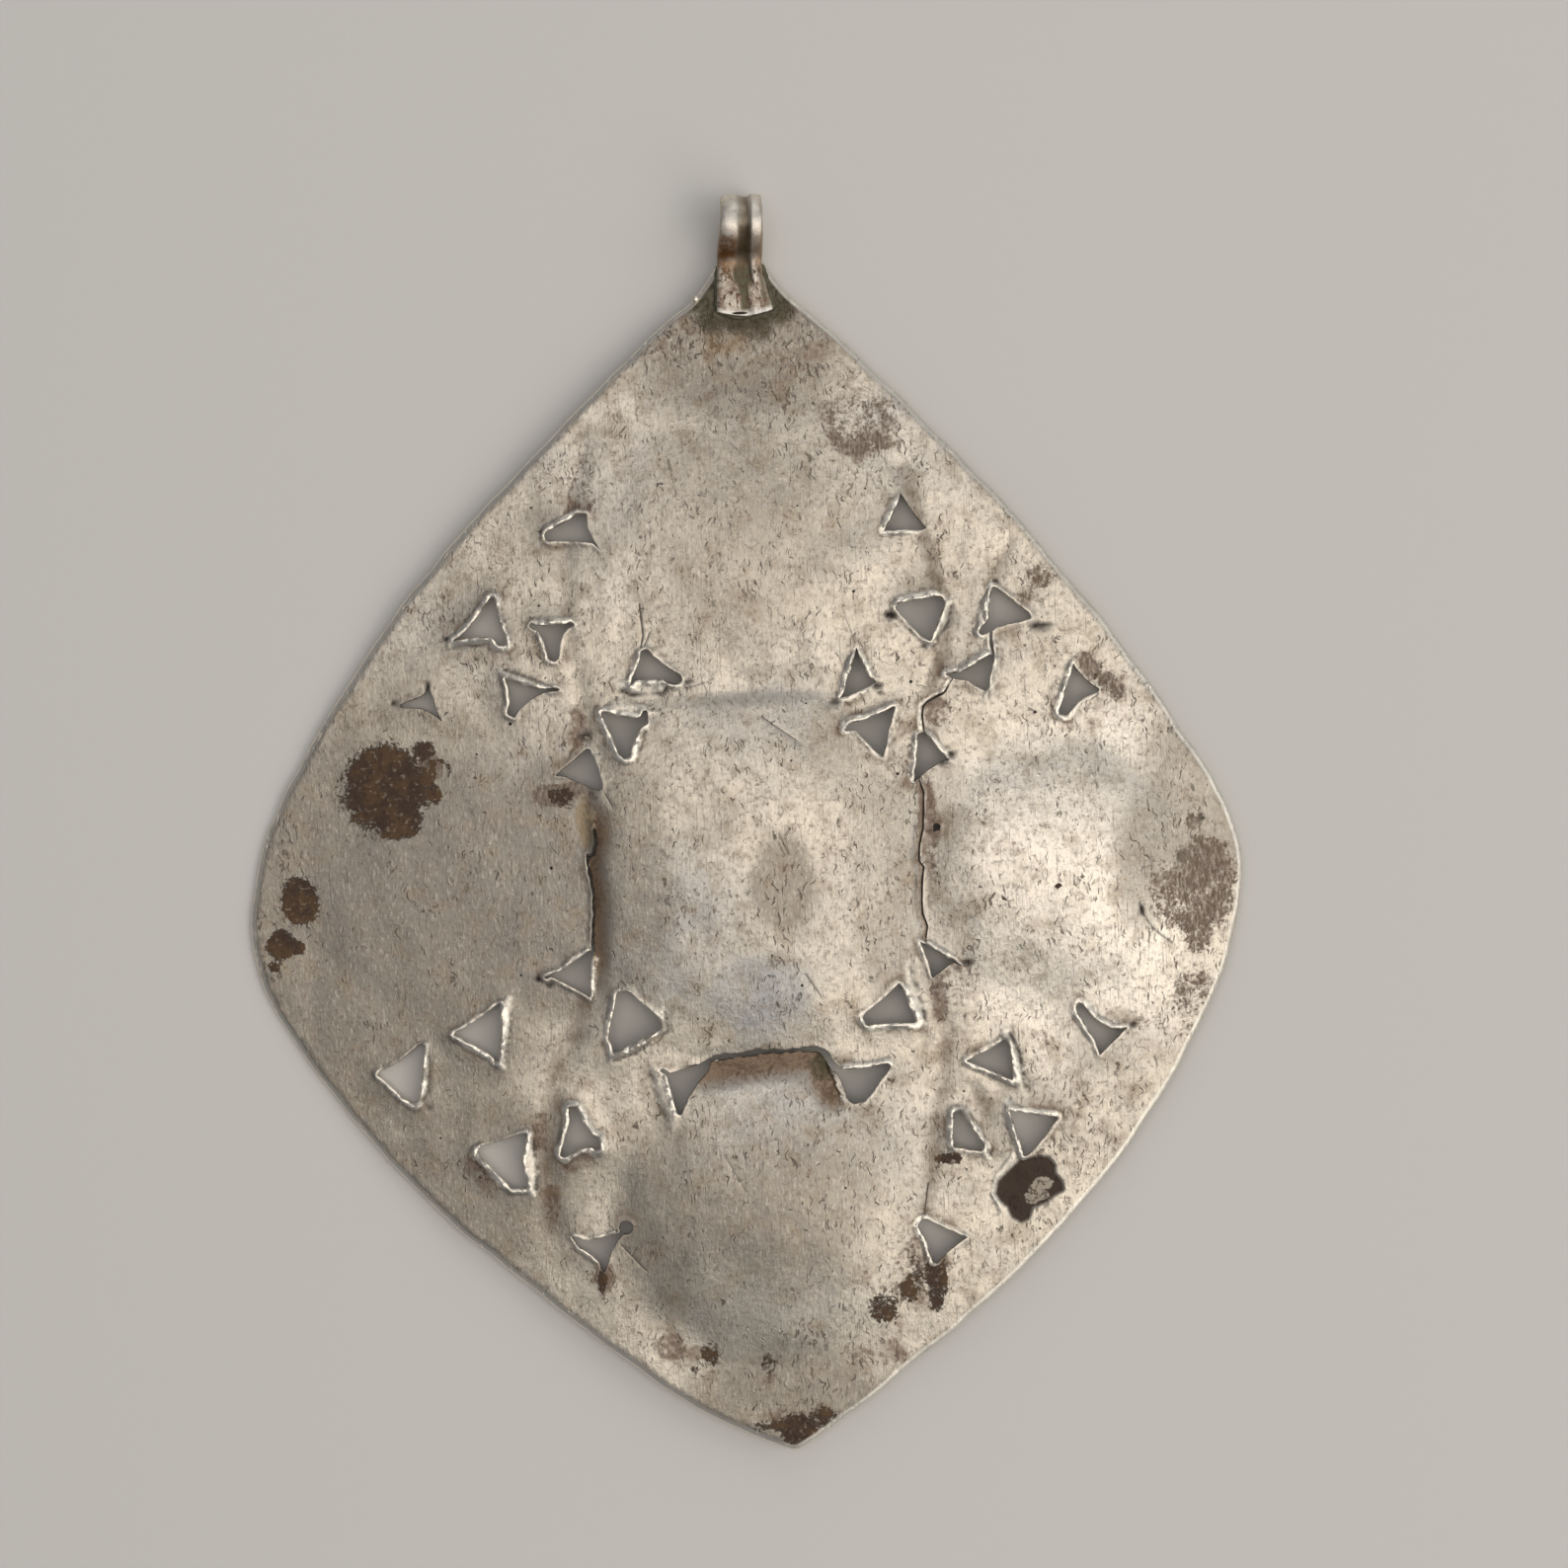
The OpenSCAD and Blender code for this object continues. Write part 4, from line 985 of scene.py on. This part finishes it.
finishMaterial(tree, silverColours, 1.0, roughness, [
    (coolMask, "cool", 1, 0.42), (polishAndHighlightMask, "shine", 1, 0.38), (tarnishAndShadeMask, "dull", 1, 0.48),
    (warmMask, "warm", 1, 0.5), (mottleMask, "mottle", 1, 0.5), (streakDark, "hair", 1, 0.5),
    (streakPale, "worn", 1, 0.4), (hairMask, "hair", 1, 0.5), (curlMask, "grime", 0.9, 0.5),
    (markMask, "mark", 0.8, 0.55), (scratchMask, "pit", 0.6, 0.6), (grimeMask, "grime", 0.85, 0.6),
    (speckMask, "grime", 0.8, 0.65), (troughMask, "trough", 0.7, 0.65), (bandMask, "band", 0.6, 0.6),
    (bandDark, "trough", 0.5, 0.65), (lipFootShade, "trough", 0.6, 0.6), (underside, "grime", 0.8, 0.6),
    (tanMask, "tan", 0.9, 0.5), (fluxMask, "flux", 0.5, 0.6), (scaleMask, "scale", 0.6, 0.65),
    (scaleDark, "scaleDark", 0.4, 0.65), (crustMask, "crust", 0.25, 0.7), (rustMask, "rust", 0.2, 0.75),
    (crustPale, "crustPale", 0.4, 0.65), (crustDeep, "crustDark", 0.15, 0.75),
    (field["nick"], "pit", 0.5, 0.7), (field["patch"], "patch", 0.25, 0.5),
    (fleckMask, "fleck", 0.9, 0.5), (flapMask, "worn", 1, 0.45), (creaseDirtAndShade, "pit", 0.5, 0.65),
    (pitMask, "pit", 0.6, 0.7), (wear, "worn", 1, 0.35),
], height, silverSet["bump"])

stripSpan = (46, 58)     # where the strip's curves start and end along y
beadSpot = (-2.1, 48.3)     # stray drop of solder beside the strip

# bent strip of the same silver: rubbed bright on the loop, burnt brown inside the bend with painted shade
# on it, a painted shadow in the gap under the leg's end, and a leg with rough pinkish cream patches
# beside an olive furrow
stripColours = {
    "base": "#D2C9B9", "mottle": "#A08A78", "deep": "#8D7B62", "furrow": "#6A6650", "bright": "#F6F0E4",
    "burnt": "#6A5644", "bend": "#7F5A36", "column": "#4C3F28", "endLip": "#F1EADF", "lens": "#3A3228",
}
stripSilver, tree, spot = newMaterial("rubbedStripSilver")
xyz = addNode(tree, "ShaderNodeSeparateXYZ", {0: spot})
ridge = fieldOf(tree, "ridge")
blotch = noiseAt(tree, spot, 1.1, 4, 0.7)
speckle = noiseAt(tree, spot, 3.4, 4, 0.65)
hair = noiseAt(tree, spot, 1, 2, 0.5, (8, 1, 1), 0.0)
down = ramp(tree, xyz.node.outputs[1], *stripSpan)
# brown burn with painted shade, where the strip rises from the leg and faces away from the light
bend = curveNode(tree, down, [(0, 0), (0.35, 0.1), (0.43, 0.7), (0.53, 1), (0.62, 0.75),
                              (0.69, 0.2), (0.93, 0.1), (1, 0.45)])
across = fieldOf(tree, "across")
share = ramp(tree, across, -1, 1)
bend = ragged(tree, bend, blotch, 1.7, 0.7)
bendLeft = curveNode(tree, share, [(0, 0.75), (0.06, 1), (0.33, 1), (0.5, 0.6), (0.75, 0.5),
                                   (0.85, 0.7), (1, 0.75)])
bend = calc(tree, "MULTIPLY", bend, bendLeft)
column = curveNode(tree, share, [(0, 0), (0.34, 0), (0.5, 1), (0.7, 1), (0.8, 0), (1, 0)])
columnEnd = curveNode(tree, down, [(0, 0), (0.3, 0), (0.46, 0.75), (0.6, 1), (0.69, 0.9),
                                   (0.77, 0.3), (0.97, 0.4), (1, 0.5)])
column = calc(tree, "MULTIPLY", column, columnEnd)
column = calc(tree, "MULTIPLY", column, ramp(tree, blotch, 0.3, 0.6, 0.8, 1))
leg = ramp(tree, xyz.node.outputs[1], 51.6, 50.8)
crumb = noiseAt(tree, spot, 1, 3, 0.65, (3, 1.8, 2), 0.1)
mottle = ramp(tree, blotch, 0.44, 0.58, 0, 0.85)
mottle = calc(tree, "MULTIPLY", mottle, leg)
burnt = ramp(tree, crumb, 0.53, 0.61)
burnt = calc(tree, "MULTIPLY", burnt, leg)
endLip = fieldOf(tree, "endLip")
furrow = calc(tree, "MULTIPLY_ADD", blotch, 0.5, -0.25)
furrow = calc(tree, "ADD", ridge, furrow)
furrow = ramp(tree, furrow, 0.42, 0.25)
furrow = calc(tree, "MULTIPLY", furrow, leg)
deep = ramp(tree, ridge, 0.45, 0.1, 0, 0.75)
bright = ramp(tree, ridge, 0.6, 0.95, 0, 0.85)
# painted shadow in the narrow gap under the end of the leg
lens = vectorCalc(tree, "SUBTRACT", spot, (1.9, 46.72, 0))
lens = vectorCalc(tree, "MULTIPLY", lens, (1.35, 7, 0))
lens = vectorCalc(tree, "LENGTH", lens, take="Value")
lens = ramp(tree, lens, 1.1, 0.8)
height = calc(tree, "MULTIPLY_ADD", hair, 0.5, speckle)
roughness = ramp(tree, leg, 0, 1, 0.34, 0.5)
finishMaterial(tree, stripColours, 1.0, roughness, [
    (mottle, "mottle", 1, 0.5), (deep, "deep", 1, 0.42), (furrow, "furrow", 0.6, 0.5),
    (bright, "bright", 1, 0.48), (burnt, "burnt", 0.8, 0.55), (bend, "bend", 0.75, 0.45),
    (column, "column", 0.35, 0.45), (endLip, "endLip", 1, 0.4), (lens, "lens", 0.4, 0.7),
], height, 0.025)

# hard solder with burnt flux: grey green, dull, lumpy
solderColours = {"base": "#6A6754", "soot": "#4A3F30", "bead": "#EDE5D6"}
solderGrey, tree, spot = newMaterial("burntSolder")
beadMask = vectorCalc(tree, "MULTIPLY", spot, (1, 1, 0))
beadMask = vectorCalc(tree, "DISTANCE", beadMask, (*beadSpot, 0), take="Value")
beadMask = ramp(tree, beadMask, 0.9, 0.7)
blotch = noiseAt(tree, spot, 1.6, 4, 0.6)
soot = ramp(tree, blotch, 0.45, 0.7, 0, 0.8)
finishMaterial(tree, solderColours, 0.6, 0.55, [
    (soot, "soot", 0.4, 0.6), (beadMask, "bead", 1, 0.35),
], blotch, 0.05)

# the sheet comes first, because the bail and the solder lie on it
sheet = runTree(slabObject, reliefTree, {**reliefSet, "silver": sheetSilver})
lowest = min(v.co.z for v in sheet.data.vertices)
sheet.data.transform(Matrix.Translation((0, 0, -lowest)))
print("  sheet triangles", sum(len(p.vertices) - 2 for p in sheet.data.polygons))
corners = [v.co[:] for v in sheet.data.vertices]
surface = BVHTree.FromPolygons(corners, [p.vertices[:] for p in sheet.data.polygons])


def surfaceZ(x, y):
    # height of the sheet's top, in millimetres
    hit = surface.ray_cast(Vector((x * mm, y * mm, 0.05)), Vector((0, 0, -1)))[0]
    return hit.z / mm if hit else 0.8


def polyPath(name, points):
    # curve object through the points
    curve = bpy.data.curves.new(name, "CURVE")
    curve.dimensions = "3D"
    line = curve.splines.new("POLY")
    line.points.add(len(points) - 1)
    for spot, point in zip(line.points, points):
        spot.co = (*point, 1)
    obj = bpy.data.objects.new(name, curve)
    bpy.context.scene.collection.objects.link(obj)
    return obj


def circleOf(tree, steps, radius):
    return addNode(tree, "GeometryNodeCurvePrimitiveCircle", {"Resolution": steps, "Radius": radius})


def sweptAlong(tree, path, profile):
    # closed solid of the profile drawn along the path
    sockets = {"Curve": path, "Profile Curve": profile, "Fill Caps": True}
    return addNode(tree, "GeometryNodeCurveToMesh", sockets)


def arc(y, z, radius, start, end, count):
    # points of an arc in the side view
    turns = np.linspace(start, end, count)
    return [(y + radius * math.cos(a), z + radius * math.sin(a)) for a in turns]


print("bail")
bailSet = {
    "thickness": 0.8, "ridgeHeight": 0.32, "endBulge": 0.5, "roughness": 0.06,
    "steps": 110, "profileSteps": 84,
}
eye = {"y": 54.8, "z": 2.85, "pathRadius": 2.25, "bendRadius": 1.6}

# side view of the strip's middle line: along the leg, up the bend, round the eye, back under the tip
stripX = 2.4     # middle of the strip
legZ = surfaceZ(stripX, 50) + 0.36
rise = legZ - eye["z"] + eye["bendRadius"]
bendY = eye["y"] - math.sqrt((eye["pathRadius"] + eye["bendRadius"]) ** 2 - rise ** 2)
meet = math.atan2(rise, bendY - eye["y"])
side = [(46.95, surfaceZ(stripX, 47) + 0.42)]
side += [(y, surfaceZ(stripX, y) + 0.38) for y in np.linspace(47.4, bendY - 0.2, 8)]
side += arc(bendY, eye["z"] + rise, eye["bendRadius"], -math.pi / 2, meet - math.pi, 12)
side += arc(eye["y"], eye["z"], eye["pathRadius"], meet - 0.1, -math.pi / 2, 60)
side += [(y, 0.6) for y in np.linspace(54.2, 51.2, 6)]
strip = polyPath("bailStrip", [(0, y, z) for y, z in side])

bailSockets = {key: "Int" if isinstance(value, int) else "Float" for key, value in bailSet.items()}
tree, bailIn = newTree("stripBail", {**bailSockets, "silver": "Material"})
path = addNode(tree, "GeometryNodeResampleCurve", {"Curve": bailIn["Geometry"], "Count": bailIn["steps"]})
place = addNode(tree, "GeometryNodeInputPosition")
xyz = addNode(tree, "ShaderNodeSeparateXYZ", {0: place})
across = circleOf(tree, bailIn["profileSteps"], 1.0)
tangent = addNode(tree, "GeometryNodeInputTangent")
along = addNode(tree, "GeometryNodeSplineParameter")
path = stored(tree, path, "spine", place, "FLOAT_VECTOR")
path = stored(tree, path, "heading", tangent, "FLOAT_VECTOR")
path = stored(tree, path, "along", along)
for key, axis, power in (("across", 0, 0.62), ("through", 1, 0.3)):
    size = calc(tree, "ABSOLUTE", xyz.node.outputs[axis])
    size = calc(tree, "POWER", size, power)
    sign = calc(tree, "SIGN", xyz.node.outputs[axis])
    size = calc(tree, "MULTIPLY", size, sign)
    across = stored(tree, across, key, size)
swept = sweptAlong(tree, path, across)
read = {key: addNode(tree, "GeometryNodeInputNamedAttribute", {0: key}, data_type=kind)
        for key, kind in (("spine", "FLOAT_VECTOR"), ("heading", "FLOAT_VECTOR"), ("along", "FLOAT"),
                          ("across", "FLOAT"), ("through", "FLOAT"))}
spine = addNode(tree, "ShaderNodeSeparateXYZ", {0: read["spine"]})
down = ramp(tree, spine.node.outputs[1], *stripSpan)
leftEdge = curveNode(tree, down, [(0, 0.01), (0.09, 0.02), (0.38, 0.055), (0.5, 0.066), (0.67, 0.123),
                                  (1, 0.17)])
rightEdge = curveNode(tree, down, [(0, 1), (0.09, 0.985), (0.25, 0.9), (0.42, 0.83), (0.6, 0.86),
                                   (0.8, 0.88), (1, 0.86)])
# the two curves hold x from -0.3 mm (0) to 5 mm (1)
share = ramp(tree, read["across"], -1, 1)
x = mixed(tree, share, leftEdge, rightEdge)
x = calc(tree, "MULTIPLY_ADD", x, 5.3, -0.3)
# ridges and furrows across the strip, on the loop, the leg and the foot
loopRidge = curveNode(tree, share, [(0, 0.35), (0.08, 0.85), (0.24, 1), (0.4, 0.85), (0.51, 0.3),
                                    (0.6, 0.1), (0.68, 0.3), (0.78, 0.95), (0.92, 0.85), (1, 0.35)])
legRidge = curveNode(tree, share, [(0, 0.4), (0.06, 0.6), (0.24, 0.6), (0.36, 0.3), (0.44, 0.05),
                                   (0.72, 0.05), (0.78, 0.8), (0.86, 0.8), (0.92, 0.3), (1, 0.45)])
footRidge = curveNode(tree, share, [(0, 0.4), (0.1, 0.6), (0.32, 0.6), (0.44, 0.45), (0.5, 0.08),
                                    (0.57, 0.08), (0.64, 0.6), (0.8, 0.65), (0.88, 0.3), (1, 0.45)])
onLeg = ramp(tree, spine.node.outputs[1], 52.6, 50.6, smooth=True)
onFoot = ramp(tree, spine.node.outputs[1], 50.4, 48.4, smooth=True)
legRidge = mixed(tree, onFoot, legRidge, footRidge)
ridge = mixed(tree, onLeg, loopRidge, legRidge)
outer = calc(tree, "GREATER_THAN", read["through"], 0.0)
ridge = calc(tree, "MULTIPLY", ridge, outer)
endLip = ramp(tree, read["along"], 0.024, 0.01)
endLip = calc(tree, "MULTIPLY", endLip, outer)
swept = stored(tree, swept, "endLip", endLip)
swept = stored(tree, swept, "ridge", ridge)
half = calc(tree, "MULTIPLY", bailIn["thickness"], 0.5)
lift = calc(tree, "MULTIPLY", read["through"], half)
lift = calc(tree, "MULTIPLY_ADD", ridge, bailIn["ridgeHeight"], lift)
lift = calc(tree, "ADD", lift, -0.12)
outwards = vectorCalc(tree, "CROSS_PRODUCT", (1, 0, 0), read["heading"])
outwards = vectorCalc(tree, "SCALE", outwards, scale=lift)
tip = ramp(tree, read["along"], 0.0, 0.07, 1, 0, smooth=True)
arch = calc(tree, "MULTIPLY", read["across"], read["across"])
arch = calc(tree, "SUBTRACT", 1, arch)
arch = calc(tree, "MULTIPLY", arch, tip)
arch = calc(tree, "MULTIPLY", arch, bailIn["endBulge"])
arch = calc(tree, "MULTIPLY", arch, -1)
shift = addNode(tree, "ShaderNodeCombineXYZ", {0: x, 1: arch})
shift = vectorCalc(tree, "ADD", shift, outwards)
spot = vectorCalc(tree, "ADD", read["spine"], shift)
noise = addNode(tree, "ShaderNodeTexNoise", {"Vector": spot, "Scale": 0.9, "Detail": 2}, take="Color")
noise = vectorCalc(tree, "SUBTRACT", noise, (0.5, 0.5, 0.5))
noise = vectorCalc(tree, "SCALE", noise, scale=bailIn["roughness"])
shift = vectorCalc(tree, "ADD", shift, noise)
shift = vectorCalc(tree, "ADD", shift, read["spine"])
swept = addNode(tree, "GeometryNodeSetPosition", {"Geometry": swept, "Position": shift})
swept = softEdges(tree, swept, 0.8)
swept = addNode(tree, "GeometryNodeFlipFaces", {0: swept})
endTree(tree, swept, bailIn["silver"])
bail = runTree(strip, tree, {**bailSet, "silver": stripSilver})

print("solder")
solderSet = {"seamRadius": 0.3, "lump": 0.3, "beadRadius": 0.3}
seam = [
    (0.7, 51.5), (0.1, 51), (-0.02, 50.2), (-0.1, 49), (-0.2, 47.6), (0.1, 46.95), (1, 46.6),
    (1.8, 46.45), (2.9, 46.6), (4.2, 47), (4.95, 47.3), (4.75, 48.2), (4.45, 49.6), (4.1, 50.9),
    (3.4, 51.5),
]
seamPath = polyPath("solderSeam", [(x, y, surfaceZ(x, y) - 0.1) for x, y in seam])
solderSockets = {key: "Float" for key in solderSet}
tree, solderIn = newTree("solderRun", {**solderSockets, "beadPlace": "Vector", "grey": "Material"})
path = addNode(tree, "GeometryNodeSubdivideCurve", {"Curve": solderIn["Geometry"], "Cuts": 7})
ring = circleOf(tree, 12, solderIn["seamRadius"])
run = sweptAlong(tree, path, ring)
bead = addNode(tree, "GeometryNodeMeshIcoSphere", {"Radius": solderIn["beadRadius"], "Subdivisions": 4})
sockets = {"Geometry": bead, "Translation": solderIn["beadPlace"], "Scale": (1.2, 1, 0.8)}
bead = addNode(tree, "GeometryNodeTransform", sockets)
both = addNode(tree, "GeometryNodeJoinGeometry")
tree.links.new(run, both.node.inputs[0])
tree.links.new(bead, both.node.inputs[0])
noise = addNode(tree, "ShaderNodeTexNoise", {"Scale": 1.3, "Detail": 2})
noise = calc(tree, "SUBTRACT", noise, 0.5)
noise = calc(tree, "MULTIPLY", noise, solderIn["lump"])
swell = vectorCalc(tree, "SCALE", addNode(tree, "GeometryNodeInputNormal"), scale=noise)
both = addNode(tree, "GeometryNodeSetPosition", {"Geometry": both, "Offset": swell})
both = addNode(tree, "GeometryNodeSetShadeSmooth", {"Geometry": both, "Shade Smooth": True})
endTree(tree, both, solderIn["grey"])
beadPlace = (*beadSpot, surfaceZ(*beadSpot) + 0.16)
solder = runTree(seamPath, tree, {**solderSet, "beadPlace": beadPlace, "grey": solderGrey})

for piece in (sheet, bail, solder):
    solid = bmesh.new()
    solid.from_mesh(piece.data)
    print("  ", piece.name, "triangles", sum(len(f.verts) - 2 for f in solid.faces),
          "mm3", round(solid.calc_volume(signed=True) * 1e9, 1),
          "open edges", sum(not e.is_manifold for e in solid.edges))
    solid.free()
    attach(piece, "root")
    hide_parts("pendant")

print("stage")
stageSet = {
    "floor": "#E4E1DB", "sky": "#C8CBD2", "skyStrength": 0.31,
    "cameraSpot": (0.00398, 0.00357, 0.4), "lens": 99.7, "turn": math.radians(-2.6),
}
floor = bpy.data.objects.new("floor", bpy.data.meshes.new("floor"))
floor.data.from_pydata([(-3, -3, 0), (3, -3, 0), (3, 3, 0), (-3, 3, 0)], [], [(0, 1, 2, 3)])
bpy.context.scene.collection.objects.link(floor)
paper, tree, spot = newMaterial("palePaper")
sockets = {"Base Color": hexToLinear(stageSet["floor"]), "Roughness": 0.9, "Specular IOR Level": 0.2}
shader = addNode(tree, "ShaderNodeBsdfPrincipled", sockets)
addNode(tree, "ShaderNodeOutputMaterial", {0: shader}, take=None)
floor.data.materials.append(paper)

# lights: name, direction it comes from, distance, width, length, power, colour
lightRows = [
    ("keyWindow", (0.25, -0.1, 1.0), 0.9, 0.34, 1.2, 2.6, "#FFF6EA"),
    ("sideWindow", (1.0, 0.2, 0.7), 1.2, 0.8, 0.7, 1.8, "#FFFFFF"),
    ("cornerWindow", (0.8, -0.75, 0.8), 1.2, 0.7, 0.7, 2.0, "#FFFDF8"),
    ("northWindow", (-0.06, 0.3, 1.0), 1.2, 0.5, 0.5, 0.5, "#FBFAFF"),
    ("farWindow", (0.2, 1.0, 0.5), 1.4, 0.9, 0.9, 2.2, "#FFFFFF"),
    ("ceiling", (0.1, 0.1, 1.6), 1.5, 1.6, 1.6, 0.9, "#FBFAFF"),
]
for name, way, distance, wide, long, power, code in lightRows:
    lamp = bpy.data.lights.new(name, "AREA")
    lamp.shape = "RECTANGLE"
    lamp.energy = power
    lamp.size = wide
    lamp.size_y = long
    lamp.color = hexToLinear(code)[:3]
    lightObject = bpy.data.objects.new(name, lamp)
    lightObject.location = Vector(way).normalized() * distance
    lightObject.rotation_euler = Vector(way).to_track_quat("Z", "Y").to_euler()
    bpy.context.scene.collection.objects.link(lightObject)

world = bpy.data.worlds.new("studio")
world.use_nodes = True
sky = world.node_tree.nodes["Background"]
sky.inputs[0].default_value = hexToLinear(stageSet["sky"])
sky.inputs[1].default_value = stageSet["skyStrength"]
bpy.context.scene.world = world
bpy.context.scene.view_settings.view_transform = "Standard"

camera = bpy.data.objects.new("camera", bpy.data.cameras.new("camera"))
camera.data.lens = stageSet["lens"]
camera.location = stageSet["cameraSpot"]
camera.rotation_euler = (0, 0, stageSet["turn"])
bpy.context.scene.collection.objects.link(camera)
bpy.context.scene.camera = camera
